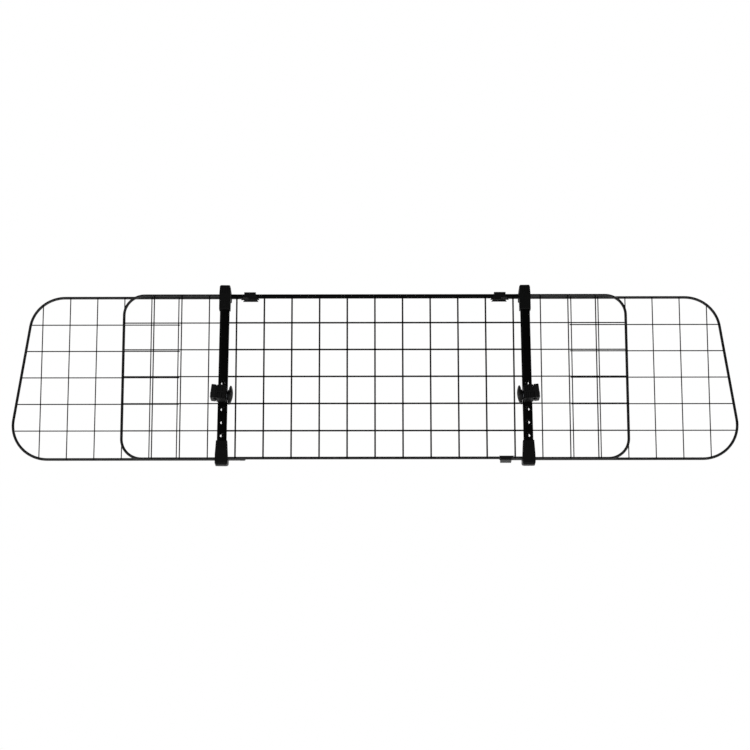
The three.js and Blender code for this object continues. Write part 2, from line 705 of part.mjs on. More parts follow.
// Domed star knob: a turned dome cut to a wavy outline, on a round flange
function starKnob() {
  const domeTop = knobHeight - knobFlangeHeight;
  const dome = [new THREE.Vector2(0, 0), new THREE.Vector2(knobRadius, 0)];
  for (let i = knobDomePoints; i >= 0; i -= 1) {
    const share = i / knobDomePoints;
    const rise = knobRimHeight + (domeTop - knobRimHeight) * (1 - share ** knobDomePower);
    dome.push(new THREE.Vector2(knobRadius * share, rise));
  }
  const turned = new THREE.LatheGeometry(dome, knobLobes * knobLobePoints);
  turned.rotateX(Math.PI / 2);
  const wave = Array.from({ length: knobLobes * knobLobePoints }, (_, i) => {
    const angle = (i / (knobLobes * knobLobePoints)) * 2 * Math.PI;
    const radius = knobRadius - (knobLobeDepth / 2) * (1 - Math.cos(knobLobes * angle));
    return new THREE.Vector2(radius * Math.cos(angle), radius * Math.sin(angle));
  });
  const star = solidOf(turned).intersect(prism(wave, 'z', -overrun, knobHeight + overrun));
  const flange = new THREE.CylinderGeometry(
    knobFlangeRadius, knobFlangeRadius, knobFlangeHeight + overrun, roundSides);
  flange.rotateX(Math.PI / 2);
  flange.translate(0, 0, (overrun - knobFlangeHeight) / 2);
  const bore = new THREE.CylinderGeometry(
    boltClear, boltClear, knobHeight - knobCrownWall + overrun, roundSides);
  bore.rotateX(Math.PI / 2);
  bore.translate(0, 0, (knobHeight - knobCrownWall - overrun) / 2 - knobFlangeHeight);
  const knob = geometryOf(cutBy(star.add(solidOf(flange)), [solidOf(bore)]));
  knob.rotateY(-Math.PI / 2);
  knob.translate(knobBase - knobFlangeHeight, screwSetback, 0);
  return solidOf(knob);
}

// Finishes
const finishes = {
  coatedSteel: { color: 0x17181a, roughness: 0.42, metalness: 0.15 },
  mouldedPlastic: { color: 0x1d1e20, roughness: 0.55, metalness: 0 },
  blackSteel: { color: 0x222326, roughness: 0.35, metalness: 0.7 },
  zincSteel: { color: 0x8d9196, roughness: 0.38, metalness: 0.9 },
};

// Places a piece in its group; side is 1 for the right of the guard and -1 for the left
function addPiece(group, name, solid, finish, side = 1) {
  const mirrored = side < 0 ? solid.scale([-1, 1, 1]) : solid;
  const material = new THREE.MeshStandardMaterial(finishes[finish]);
  const mesh = new THREE.Mesh(geometryOf(mirrored), material);
  mesh.name = name;
  group.add(mesh);
}

const guard = new THREE.Group();

// Panels, measured from mid height and from the middle panel's top rail
const panels = new THREE.Group();
panels.position.set(0, panelSetback, panelLift);
guard.add(panels);
addPiece(panels, 'middle_top_rail', middleTopRail(), 'coatedSteel');
addPiece(panels, 'middle_bottom_rail', middleBottomRail(), 'coatedSteel');
addPiece(panels, 'middle_mesh', middleMesh(), 'coatedSteel');
addPiece(panels, 'right_wing_bottom_clip', bottomSlideClip(), 'blackSteel');

for (const [word, side] of [['left', -1], ['right', 1]]) {
  addPiece(panels, `${word}_end_rod`, endRod(), 'coatedSteel', side);
  addPiece(panels, `${word}_side_frame`, sideFrame(), 'coatedSteel', side);
  addPiece(panels, `${word}_side_mesh`, sideMesh(), 'coatedSteel', side);
  addPiece(panels, `${word}_wing_frame`, bentRod(wingLine(wingTipBottom[word]), wingRodY, wingRodRadius),
    'coatedSteel', side);
  addPiece(panels, `${word}_wing_mesh`, wingMesh(), 'coatedSteel', side);
  addPiece(panels, `${word}_wing_top_clip`, topSlideClip(), 'blackSteel', side);

  const leaningPost = new THREE.Group();
  leaningPost.position.set(side * postX, 0, -clampHoleDrop);
  leaningPost.rotation.y = -side * postToeIn;
  panels.add(leaningPost);
  const post = new THREE.Group();
  post.position.z = clampHoleDrop;
  leaningPost.add(post);
  addPiece(post, `${word}_post_tube`, postTube(), 'coatedSteel', side);
  addPiece(post, `${word}_post_top_cap`, topCap(), 'mouldedPlastic', side);
  addPiece(post, `${word}_post_foot_cap`, footCap(), 'mouldedPlastic', side);
  addPiece(post, `${word}_swivel_bolt`, swivelBolt(), 'blackSteel', side);

  const clamp = new THREE.Group();
  clamp.position.x = side * postX;
  clamp.rotation.y = -side * clampTilt;
  guard.add(clamp);
  addPiece(clamp, `${word}_clamp_body`, clampBody(), 'mouldedPlastic', side);
  addPiece(clamp, `${word}_clamp_jaw`, clampJaw(), 'mouldedPlastic', side);
  addPiece(clamp, `${word}_clamp_bolt`, clampBolt(), 'blackSteel', side);
  addPiece(clamp, `${word}_clamp_washer`, clampWasher(), 'zincSteel', side);
  addPiece(clamp, `${word}_clamp_knob`, starKnob(), 'mouldedPlastic', side);
  addPiece(clamp, `${word}_swivel_nut`, swivelNut(), 'zincSteel', side);
}

export default guard;
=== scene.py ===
"""Looks of a welded wire dog guard that hangs on two headrest posts in a car.

Every surface is worked out in millimetres from the sizes below, then placed in the row frame in metres:
+X to the guard's right as seen from the seats, +Y to the load space, +Z up.
"""

import logging
import math
from dataclasses import dataclass, field
from enum import Enum
from typing import Any, Dict, List, Optional, Sequence, Tuple, Union

import bpy
import numpy as np
from mathutils import Matrix


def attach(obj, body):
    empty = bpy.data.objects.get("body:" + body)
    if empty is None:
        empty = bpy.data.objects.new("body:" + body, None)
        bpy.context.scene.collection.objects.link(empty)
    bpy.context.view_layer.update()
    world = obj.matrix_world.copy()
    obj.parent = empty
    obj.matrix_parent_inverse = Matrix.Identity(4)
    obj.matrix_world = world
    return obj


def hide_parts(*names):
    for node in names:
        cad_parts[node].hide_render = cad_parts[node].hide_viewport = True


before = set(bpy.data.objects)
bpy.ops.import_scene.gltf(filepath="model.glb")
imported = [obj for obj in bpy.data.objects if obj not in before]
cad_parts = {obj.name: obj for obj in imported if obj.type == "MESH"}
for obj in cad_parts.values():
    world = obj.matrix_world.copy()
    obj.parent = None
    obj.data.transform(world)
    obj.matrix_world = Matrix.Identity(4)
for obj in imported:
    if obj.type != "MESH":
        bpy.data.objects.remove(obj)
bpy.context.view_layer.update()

log = logging.getLogger("dog_guard")
MM = 0.001
# The largest turn between two points of a bent rod and of an outline's corner.
BEND_STEP = math.pi / 40
CORNER_STEP = math.pi / 14
# A hexagon's half width across its flats, as a share of its corner radius.
HEX_FLAT = math.cos(math.pi / 6)
Span = Tuple[float, float]
Spot = Tuple[float, float, float]
Corner = Tuple[float, ...]


class Side(Enum):
    """The half of the guard that a piece belongs to; the value is the sign of its X."""
    LEFT = -1
    RIGHT = 1

    @property
    def word(self) -> str:
        """The side's name as the CAD nodes have it."""
        return self.name.lower()


class Axis(Enum):
    """The axis that a shape is pushed or turned along."""
    X = 0
    Y = 1
    Z = 2


class Carve(Enum):
    """What a tool does to a solid."""
    CUT = "DIFFERENCE"
    KEEP = "INTERSECT"


class Slot(Enum):
    """Material slots of the record."""
    ROD = "coated_rod"
    WIRE = "coated_wire"
    TUBE = "coated_tube"
    SHEET = "pressed_steel"
    CAP = "cap_plastic"
    CLAMP = "clamp_plastic"
    KNOB = "knob_plastic"
    BOLT = "black_bolt"
    ZINC = "zinc_steel"


# Surfaces


@dataclass
class Shell:
    """A closed surface: points in millimetres and blocks of faces with the same number of corners."""
    points: np.ndarray
    faces: List[np.ndarray]

    def facing_out(self) -> "Shell":
        """Turns the faces outwards: the pyramids from the origin to them then add up to more than nothing.

        Returns:
            This surface, or one whose faces are all turned round.
        """
        total = 0.0
        for block in self.faces:
            first = self.points[block[:, 0]]
            for k in range(1, block.shape[1] - 1):
                near, far = self.points[block[:, k]], self.points[block[:, k + 1]]
                total += float(np.einsum("ij,ij->i", first, np.cross(near, far)).sum())
        return self if total >= 0 else Shell(self.points, [block[:, ::-1] for block in self.faces])


def joined(shells: Sequence[Shell]) -> Shell:
    """Several surfaces as one.

    Args:
        shells: the surfaces.

    Returns:
        One surface with all their points and faces.
    """
    offsets = np.cumsum([0] + [len(shell.points) for shell in shells[:-1]])
    faces = [block + offset for shell, offset in zip(shells, offsets) for block in shell.faces]
    return Shell(np.concatenate([shell.points for shell in shells]), faces)


def grid_faces(rows: int, around: int, looped: bool = False) -> np.ndarray:
    """Quads of a grid of points that is closed around.

    Args:
        rows: rows of points.
        around: points in each row.
        looped: True when the last row joins the first.

    Returns:
        Rows of four point numbers.
    """
    i, j = np.meshgrid(np.arange(rows if looped else rows - 1), np.arange(around), indexing="ij")
    k, below = (j + 1) % around, (i + 1) % rows
    return np.stack([i * around + j, i * around + k, below * around + k, below * around + j],
                    -1).reshape(-1, 4)


def through(rings: np.ndarray, looped: bool = False) -> Shell:
    """A surface through rings of points, with a fan on the first and the last.

    Args:
        rings: points as rows by points around by three.
        looped: True when the last ring joins the first, as a washer's does, in place of the fans.

    Returns:
        The closed surface, facing outwards.
    """
    rows, around, _ = rings.shape
    if looped:
        return Shell(rings.reshape(-1, 3), [grid_faces(rows, around, True)]).facing_out()
    points = np.concatenate([rings.reshape(-1, 3), rings[0].mean(0)[None], rings[-1].mean(0)[None]])
    j = np.arange(around)
    k, pole, last = (j + 1) % around, np.full(around, rows * around), (rows - 1) * around
    fans = [np.stack([pole, k, j], -1), np.stack([pole + 1, last + j, last + k], -1)]
    return Shell(points, [grid_faces(rows, around), *fans]).facing_out()


def quarter(rim: float, steps: int = 4) -> Tuple[np.ndarray, np.ndarray]:
    """A rounded edge: rim (1 - cos k) along and rim (1 - sin k) in, for k over a quarter circle."""
    k = np.linspace(0, np.pi / 2, steps)
    return rim * (1 - np.cos(k)), rim * (1 - np.sin(k))


def rounded_path(corners: Sequence[Corner], step: float,
                 closed: bool = False) -> Tuple[np.ndarray, np.ndarray]:
    """A line whose corners are arcs: each arc leaves its corner at radius times the tangent of half the turn.

    Args:
        corners: (a, b) or (a, b, radius) of each corner.
        step: the largest turn between two points, in radians.
        closed: True for an outline.

    Returns:
        The points and the unit tangents along the line.
    """
    spots = np.array([corner[:2] for corner in corners], float)
    radii = [corner[2] if len(corner) > 2 else 0.0 for corner in corners]
    arriving = spots - np.roll(spots, 1, axis=0)
    arriving /= np.linalg.norm(arriving, axis=1, keepdims=True)
    leaving = np.roll(arriving, -1, axis=0)
    points, tangents = [], []
    for i, (spot, radius, before, after) in enumerate(zip(spots, radii, arriving, leaving)):
        at_end = not closed and i in (0, len(spots) - 1)
        if at_end or radius <= 0:
            points.append(spot[None])
            heading = before + after if not at_end else after if i == 0 else before
            tangents.append((heading / np.linalg.norm(heading))[None])
            continue
        turn = math.acos(float(np.clip(before @ after, -1, 1)))
        side = math.copysign(1, before[0] * after[1] - before[1] * after[0])
        inward = side * np.array([-before[1], before[0]])
        centre = spot - before * radius * math.tan(turn / 2) + inward * radius
        angles = np.linspace(0, turn, max(2, math.ceil(turn / step) + 1))[:, None]
        points.append(centre - inward * radius * np.cos(angles) + before * radius * np.sin(angles))
        tangents.append(before * np.cos(angles) + inward * np.sin(angles))
    return np.concatenate(points), np.concatenate(tangents)


def outline(corners: Sequence[Corner]) -> np.ndarray:
    """The points of a closed outline with rounded corners."""
    return rounded_path(corners, CORNER_STEP, closed=True)[0]


def rectangle(left: float, low: float, right: float, high: float, radius: float = 0.0) -> np.ndarray:
    """The outline of a rectangle with one radius at its four corners."""
    return outline([(left, low, radius), (right, low, radius), (right, high, radius), (left, high, radius)])


def around_circle(radius: float, count: int) -> np.ndarray:
    """Points round a circle: (r cos t, r sin t)."""
    t = np.arange(count) * 2 * np.pi / count
    return radius * np.stack([np.cos(t), np.sin(t)], -1)


def prism(points: np.ndarray, axis: Axis, low: float, high: float) -> Shell:
    """An outline pushed straight along an axis.

    Args:
        points: the outline in the two other axes, in the order X, Y, Z.
        axis: the axis that it is pushed along.
        low: where it starts.
        high: where it ends.

    Returns:
        The closed solid's surface.
    """
    count = len(points)
    both = np.empty((2, count, 3))
    both[:, :, [k for k in range(3) if k != axis.value]] = points
    both[0, :, axis.value], both[1, :, axis.value] = low, high
    ends = np.arange(count)[None]
    return Shell(both.reshape(-1, 3), [grid_faces(2, count), ends[:, ::-1], ends + count]).facing_out()


def rod(line: np.ndarray, heading: np.ndarray, y: float, radius: float, sides: int = 20,
        rim: float = 0.5) -> Shell:
    """A round rod bent in an upright plane, with rounded cut ends.

    A point on it is line + r (cos a Y + sin a (tangent x Y)).

    Args:
        line: (x, z) of its centre line.
        heading: unit (x, z) tangents.
        y: the plane that it lies in.
        radius: of the rod.
        sides: points around.
        rim: radius of the cut edges.

    Returns:
        The closed rod's surface.
    """
    path, tangents = (np.insert(pairs, 1, depth, axis=1) for pairs, depth in ((line, y), (heading, 0.0)))
    offset, inset = quarter(rim)
    count = len(offset)
    path = np.concatenate([path[0] + offset[:, None] * tangents[0], path[1:-1],
                           (path[-1] - offset[:, None] * tangents[-1])[::-1]])
    tangents = np.concatenate([np.repeat(tangents[:1], count, 0), tangents[1:-1],
                               np.repeat(tangents[-1:], count, 0)])
    radii = np.concatenate([radius - inset, np.full(len(line) - 2, radius), (radius - inset)[::-1]])
    back = np.array([0.0, 1.0, 0.0])
    cos, sin = around_circle(1.0, sides).T[:, :, None]
    return through(path[:, None] + radii[:, None, None]
                   * (cos * back + sin * np.cross(tangents, back)[:, None]))


def straight_rod(start: Span, end: Span, y: float, radius: float, sides: int = 14,
                 rim: float = 0.35) -> Shell:
    """A straight round rod between two (x, z) centres, as rod() makes it.

    Args:
        start: (x, z) of one end.
        end: (x, z) of the other.
        y: the plane that it lies in.
        radius: of the rod.
        sides: points around.
        rim: radius of the cut edges.

    Returns:
        The closed rod's surface.
    """
    line = np.array([start, end], float)
    tangent = (line[1] - line[0]) / np.linalg.norm(line[1] - line[0])
    return rod(line, np.array([tangent, tangent]), y, radius, sides, rim)


def weld_beads(centres: np.ndarray, half: Sequence[float], around: int = 8, rows: int = 5) -> Shell:
    """Small ellipsoids of melted wire under the coat: centre + half * (cos a sin b, sin a sin b, cos b).

    Args:
        centres: one row to each bead.
        half: half sizes along X, Y and Z.
        around: points around a bead.
        rows: rings between its poles.

    Returns:
        All the beads as one surface.
    """
    b = np.linspace(np.pi, 0, rows + 2)[1:-1, None]
    x, y = around_circle(1.0, around).T
    bead = through(np.stack([x * np.sin(b), y * np.sin(b), np.cos(b) + 0 * x], -1))
    bead.points[-2:] = [[0, 0, -1], [0, 0, 1]]
    points = (bead.points[None] * np.array(half) + centres[:, None, :]).reshape(-1, 3)
    shift = (np.arange(len(centres)) * len(bead.points))[:, None, None]
    return Shell(points, [(block[None] + shift).reshape(-1, block.shape[1]) for block in bead.faces])


def turned(profile: Any, around: int = 32, looped: bool = False) -> Shell:
    """A profile of (radius, height) turned about Z: point = (r cos t, r sin t, h).

    Args:
        profile: one row to each ring, from the bottom up.
        around: points around.
        looped: True for a ring with a bore, whose profile ends where it starts.

    Returns:
        The closed surface.
    """
    r, h = np.array(profile, float).T[:, :, None]
    x, y = around_circle(1.0, around).T
    return through(np.stack([r * x, r * y, h + 0 * x], -1), looped)


def laid(shell: Shell, axis: Axis, place: Sequence[float], sign: int = 1) -> Shell:
    """Lays a shape made about Z along another axis and moves it.

    Args:
        shell: the shape, its own axis along Z.
        axis: where that axis goes.
        place: where its origin goes.
        sign: -1 to point it down the axis.

    Returns:
        The shape in its place.
    """
    x, y, z = (shell.points * [1, sign, sign]).T
    columns = {Axis.X: (z, x, y), Axis.Y: (x, z, -y), Axis.Z: (x, y, z)}[axis]
    return Shell(np.stack(columns, -1) + np.array(place, float), shell.faces).facing_out()


def drill(axis: Axis, place: Sequence[float], radius: float, length: float, around: int = 32) -> Shell:
    """A round tool that starts at a place and runs up an axis."""
    return laid(turned([(radius, 0), (radius, length)], around), axis, place)


def crossing(points: np.ndarray, column: int, value: float) -> np.ndarray:
    """Where a line of points crosses a value of one of its two coordinates.

    Args:
        points: (x, z) along the line.
        column: 0 to cross at an x, 1 at a z.
        value: the x or z.

    Returns:
        The other coordinate of each crossing.
    """
    a, b = points[:-1], points[1:]
    with np.errstate(divide="ignore", invalid="ignore"):
        share = (value - a[:, column]) / (b[:, column] - a[:, column])
    hit, other = (share >= 0) & (share <= 1), 1 - column
    return a[hit, other] + share[hit] * (b[hit, other] - a[hit, other])


# Meshes and objects


def new_object(shell: Shell, name: str = "piece") -> bpy.types.Object:
    """A linked mesh object from a surface, still in millimetres.

    Args:
        shell: the surface.
        name: of the object and its mesh.

    Returns:
        The object.
    """
    mesh = bpy.data.meshes.new(name)
    mesh.from_pydata(shell.points.tolist(), [], [face for block in shell.faces for face in block.tolist()])
    mesh.update()
    made = bpy.data.objects.new(name, mesh)
    bpy.context.scene.collection.objects.link(made)
    return made


def baked(target: bpy.types.Object) -> None:
    """Makes an object's modifiers part of its mesh.

    Args:
        target: the object.
    """
    graph = bpy.context.evaluated_depsgraph_get()
    mesh = bpy.data.meshes.new_from_object(target.evaluated_get(graph))
    target.modifiers.clear()
    target.data = mesh


def carved(target: bpy.types.Object, tools: Sequence[Shell], how: Carve = Carve.CUT) -> None:
    """Cuts tools out of an object, or keeps only what lies inside them.

    Args:
        target: the object, in millimetres.
        tools: closed surfaces that don't touch each other.
        how: cut or keep.
    """
    tool = new_object(joined(tools), "tool")
    modifier = target.modifiers.new("carve", "BOOLEAN")
    modifier.operation = how.value
    modifier.solver = "EXACT"
    modifier.object = tool
    baked(target)
    bpy.data.objects.remove(tool)


def edged(target: bpy.types.Object, width: float, segments: int = 3, angle: float = 50.0) -> bpy.types.Object:
    """Rounds the sharp edges of an object.

    Args:
        target: the object, in millimetres.
        width: of the rounding, in millimetres.
        segments: facets across it.
        angle: edges flatter than this, in degrees, stay.

    Returns:
        The same object.
    """
    modifier = target.modifiers.new("edge", "BEVEL")
    modifier.width = width
    modifier.segments = segments
    modifier.limit_method = "ANGLE"
    modifier.angle_limit = math.radians(angle)
    modifier.use_clamp_overlap = True
    baked(target)
    return target


def placed(target: bpy.types.Object, place: Matrix, sharp: float = 42.0) -> bpy.types.Object:
    """Moves an object's mesh from millimetres to its place in the row frame and shades it.

    Args:
        target: the object, in millimetres.
        place: its matrix, in millimetres, which may mirror it.
        sharp: edges sharper than this, in degrees, aren't smoothed.

    Returns:
        The same object.
    """
    mesh = target.data
    mesh.transform(Matrix.Scale(MM, 4) @ place)
    if place.determinant() < 0:
        mesh.flip_normals()
    mesh.shade_smooth()
    mesh.set_sharp_from_angle(angle=math.radians(sharp))
    target.modifiers.new("even_shading", "WEIGHTED_NORMAL").keep_sharp = True
    baked(target)
    return target


# Finishes


def linear(code: str) -> Tuple[float, float, float, float]:
    """The linear colour of an sRGB value: c / 12.92 up to 0.04045, and ((c + 0.055) / 1.055) ^ 2.4 above it.

    Args:
        code: the value in hex, such as "#1a1b1d".

    Returns:
        Red, green and blue, and an alpha of one.
    """
    parts = [int(code[k:k + 2], 16) / 255 for k in (1, 3, 5)]
    red, green, blue = (c / 12.92 if c <= 0.04045 else ((c + 0.055) / 1.055) ** 2.4 for c in parts)
    return red, green, blue, 1.0


def add_node(tree: bpy.types.NodeTree, kind: str, settings: Optional[Dict[str, Any]] = None,
             inputs: Optional[Dict[Any, Any]] = None) -> bpy.types.Node:
    """Adds a node with its settings, values and links.

    Args:
        tree: the material's or world's tree.
        kind: the node's type.
        settings: properties of the node.
        inputs: for each input's name or number, a value or the socket that it is linked from.

    Returns:
        The new node.
    """
    node = tree.nodes.new(kind)
    for key, value in (settings or {}).items():
        setattr(node, key, value)
    for key, value in (inputs or {}).items():
        if isinstance(value, bpy.types.NodeSocket):
            tree.links.new(value, node.inputs[key])
        else:
            node.inputs[key].default_value = value
    return node


def fine(size_mm: float) -> float:
    """A pattern's scale on object coordinates, in metres, for features this many millimetres wide."""
    return 1 / (size_mm * MM)


def fresh(name: str) -> Tuple[bpy.types.Material, bpy.types.NodeTree, bpy.types.NodeSocket]:
    """An empty material with its tree and object coordinates.

    Args:
        name: of the material.

    Returns:
        The material, its tree, and the socket of its object coordinates.
    """
    material = bpy.data.materials.new(name)
    material.use_nodes = True
    tree = material.node_tree
    tree.nodes.clear()
    return material, tree, add_node(tree, "ShaderNodeTexCoord").outputs["Object"]


def closed_off(tree: bpy.types.NodeTree, shader: bpy.types.Node) -> None:
    """Links a shader to the material's output."""
    add_node(tree, "ShaderNodeOutputMaterial", inputs={"Surface": shader.outputs[0]})


@dataclass(frozen=True)
class Pattern:
    """What a finish varies by: a share for its tones, and a texture, used over a span, for its roughness."""
    tones: bpy.types.NodeSocket
    texture: bpy.types.NodeSocket
    span: Span = (0.3, 0.7)


@dataclass(frozen=True)
class Finish:
    """A finish of two tones and two roughnesses; by itself it is bare metal."""
    name: str
    deep: str
    pale: str
    roughness: Span

    def pattern(self, tree: bpy.types.NodeTree, spot: bpy.types.NodeSocket) -> Pattern:
        """Adds the finish's own pattern."""
        raise NotImplementedError

    def skin(self, tree: bpy.types.NodeTree, texture: bpy.types.NodeSocket) -> Dict[str, Any]:
        """The shader's inputs besides its colour and roughness."""
        return {"Metallic": 1.0}

    def material(self) -> bpy.types.Material:
        """The finish as a material.

        Returns:
            The material, with its tones mixed and its roughness mapped by its pattern.
        """
        made, tree, spot = fresh(self.name)
        pattern = self.pattern(tree, spot)
        # A colour Mix takes its factor at input 0 and its colours at 6 and 7; its result is output 2.
        tone = add_node(tree, "ShaderNodeMix", {"data_type": "RGBA"}, {
            0: pattern.tones, 6: linear(self.deep), 7: linear(self.pale)})
        rough = add_node(tree, "ShaderNodeMapRange", inputs={
            "Value": pattern.texture, "From Min": pattern.span[0], "From Max": pattern.span[1],
            "To Min": self.roughness[0], "To Max": self.roughness[1]})
        closed_off(tree, add_node(tree, "ShaderNodeBsdfPrincipled", inputs={
            "Base Color": tone.outputs[2], "Roughness": rough.outputs[0],
            **self.skin(tree, pattern.texture)}))
        return made


@dataclass(frozen=True)
class Coating(Finish):
    """A finish with a gloss of its own, whose relief follows its texture."""
    gloss: float
    ior: float
    relief: float
    depth_mm: float

    def skin(self, tree: bpy.types.NodeTree, texture: bpy.types.NodeSocket) -> Dict[str, Any]:
        """Relief, gloss and index of refraction.

        Args:
            tree: the material's tree.
            texture: what the relief follows.

        Returns:
            The shader's inputs.
        """
        bump = add_node(tree, "ShaderNodeBump", inputs={
            "Height": texture, "Strength": self.relief, "Distance": self.depth_mm * MM})
        return {"Normal": bump.outputs[0], "Specular IOR Level": self.gloss, "IOR": self.ior}


@dataclass(frozen=True)
class PowderCoat(Coating):
    """Polyester powder coat baked on steel: it flows out to a faint orange peel, so its gloss is broken up.

    The real peel is about 1 mm wide on a rod and too fine for the render, so it is drawn at 2.5 mm.
    """
    deep: str = "#040405"
    pale: str = "#0a0a0b"
    roughness: Span = (0.26, 0.38)
    gloss: float = 0.26
    ior: float = 1.5
    relief: float = 0.6
    depth_mm: float = 0.035
    peel_mm: float = 2.5
    cloud_mm: float = 38.0

    def pattern(self, tree: bpy.types.NodeTree, spot: bpy.types.NodeSocket) -> Pattern:
        """Wide clouds in the tone, and the peel.

        Args:
            tree: the material's tree.
            spot: object coordinates.

        Returns:
            The finish's pattern.
        """
        cloud = add_node(tree, "ShaderNodeTexNoise", inputs={
            "Vector": spot, "Scale": fine(self.cloud_mm), "Detail": 3.0, "Roughness": 0.55})
        peel = add_node(tree, "ShaderNodeTexNoise", inputs={
            "Vector": spot, "Scale": fine(self.peel_mm), "Detail": 2.0, "Roughness": 0.45})
        return Pattern(cloud.outputs[0], peel.outputs[0])


@dataclass(frozen=True)
class MouldedPolypropylene(Coating):
    """Injection-moulded polypropylene: the mould's spark-eroded grain scatters the light to a soft sheen.

    The real grain is about 0.15 mm, drawn at 0.9 mm to show.
    """
    deep: str = "#060606"
    pale: str = "#0d0d0d"
    roughness: Span = (0.40, 0.54)
    gloss: float = 0.07
    ior: float = 1.49
    relief: float = 0.5
    depth_mm: float = 0.05
    grain_mm: float = 0.9
    flow_mm: float = 16.0
    grain_span: Span = (0.1, 0.7)

    def pattern(self, tree: bpy.types.NodeTree, spot: bpy.types.NodeSocket) -> Pattern:
        """Flow marks in the tone, and the grain.

        Args:
            tree: the material's tree.
            spot: object coordinates.

        Returns:
            The finish's pattern.
        """
        flow = add_node(tree, "ShaderNodeTexNoise", inputs={
            "Vector": spot, "Scale": fine(self.flow_mm), "Detail": 2.0, "Distortion": 0.6})
        grain = add_node(tree, "ShaderNodeTexVoronoi", {"feature": "SMOOTH_F1"}, {
            "Vector": spot, "Scale": fine(self.grain_mm), "Smoothness": 0.7})
        return Pattern(flow.outputs[0], grain.outputs[0], self.grain_span)


@dataclass(frozen=True)
class FilledNylon(Coating):
    """Glass-filled nylon, moulded: short fibres leave pale streaks along the flow, on a satin skin.

    The fibres are 0.3 mm long and show as streaks of 1.6 mm here.
    """
    deep: str = "#060606"
    pale: str = "#121213"
    roughness: Span = (0.46, 0.62)
    gloss: float = 0.10
    ior: float = 1.53
    relief: float = 0.4
    depth_mm: float = 0.03
    streak_mm: float = 1.6
    stretch: float = 5.0
    thinning: Span = (0.45, 0.75)

    def pattern(self, tree: bpy.types.NodeTree, spot: bpy.types.NodeSocket) -> Pattern:
        """Streaks drawn out along Z, thinned for the tone.

        Args:
            tree: the material's tree.
            spot: object coordinates.

        Returns:
            The finish's pattern.
        """
        drawn_out = add_node(tree, "ShaderNodeMapping", inputs={
            "Vector": spot, "Scale": (1.0, 1.0, 1 / self.stretch)})
        streak = add_node(tree, "ShaderNodeTexNoise", inputs={
            "Vector": drawn_out.outputs[0], "Scale": fine(self.streak_mm), "Detail": 3.0, "Roughness": 0.6})
        thinned = add_node(tree, "ShaderNodeMapRange", inputs={
            "Value": streak.outputs[0], "From Min": self.thinning[0], "From Max": self.thinning[1]})
        return Pattern(thinned.outputs[0], streak.outputs[0])


@dataclass(frozen=True)
class BlackOxide(Finish):
    """Black oxide on a steel bolt: a thin dark film over the metal, so the gloss stays metallic but dim."""
    deep: str = "#242426"
    pale: str = "#3a3a3d"
    roughness: Span = (0.32, 0.48)
    blotch_mm: float = 4.0

    def pattern(self, tree: bpy.types.NodeTree, spot: bpy.types.NodeSocket) -> Pattern:
        """The film's blotches.

        Args:
            tree: the material's tree.
            spot: object coordinates.

        Returns:
            The finish's pattern.
        """
        blotch = add_node(tree, "ShaderNodeTexNoise", inputs={
            "Vector": spot, "Scale": fine(self.blotch_mm), "Detail": 4.0, "Roughness": 0.6})
        return Pattern(blotch.outputs[0], blotch.outputs[0])


@dataclass(frozen=True)
class BrightZinc(Finish):
    """Bright zinc plate on a stamped washer or nut: fine rolling lines under a clear film.

    Real lines are too fine to show, so they are drawn 0.6 mm apart here.
    """
    deep: str = "#55585c"
    pale: str = "#74777b"
    roughness: Span = (0.30, 0.46)
    line_mm: float = 0.6
    squeeze: float = 0.06

    def pattern(self, tree: bpy.types.NodeTree, spot: bpy.types.NodeSocket) -> Pattern:
        """The rolling lines.

        Args:
            tree: the material's tree.
            spot: object coordinates.

        Returns:
            The finish's pattern.
        """
        rolled = add_node(tree, "ShaderNodeMapping", inputs={
            "Vector": spot, "Scale": (1.0, 1.0, self.squeeze)})
        line = add_node(tree, "ShaderNodeTexNoise", inputs={
            "Vector": rolled.outputs[0], "Scale": fine(self.line_mm), "Detail": 2.0})
        return Pattern(line.outputs[0], line.outputs[0])


@dataclass
class Wardrobe:
    """The finishes of the whole guard, each made once."""
    finishes: Dict[Slot, Finish] = field(default_factory=lambda: {
        Slot.ROD: PowderCoat("powder_coated_rod"),
        Slot.WIRE: PowderCoat("powder_coated_wire", "#020202", "#060606", (0.36, 0.5), 0.06, peel_mm=2.0),
        Slot.TUBE: PowderCoat("powder_coated_tube", "#010101", "#040404", (0.3, 0.42), 0.05),
        Slot.SHEET: PowderCoat("thin_coated_sheet", "#040404", "#0b0b0c", (0.42, 0.56), 0.1),
        Slot.CAP: MouldedPolypropylene("moulded_polypropylene"),
        Slot.CLAMP: FilledNylon("glass_filled_nylon"),
        Slot.KNOB: FilledNylon("moulded_nylon_knob", "#070707", "#0e0e0e", streak_mm=2.2),
        Slot.BOLT: BlackOxide("black_oxide_steel"),
        Slot.ZINC: BrightZinc("bright_zinc_plate"),
    })
    made: Dict[str, bpy.types.Material] = field(default_factory=dict)

    def dress(self, node: str, shape: Union[Shell, bpy.types.Object], place: Matrix, slot: Slot, body: str,
              coat: Optional[Finish] = None) -> None:
        """Puts a piece in its place, gives it its finish and body, and lets it stand for its CAD node.

        Args:
            node: the CAD node that it stands for.
            shape: its surface or its object, in millimetres.
            place: its matrix, in millimetres.
            slot: the record's material slot.
            body: the CAD body that it rides on.
            coat: its finish, where it isn't the slot's usual one.
        """
        piece = placed(new_object(shape) if isinstance(shape, Shell) else shape, place)
        piece.name = piece.data.name = f"{node}_finished"
        finish = coat or self.finishes[slot]
        if finish.name not in self.made:
            self.made[finish.name] = finish.material()
        piece.data.materials.clear()
        piece.data.materials.append(self.made[finish.name])
        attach(piece, body)
        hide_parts(node)
        log.info("%s on %s: %d faces", piece.name, body, len(piece.data.polygons))


# Sub-assemblies


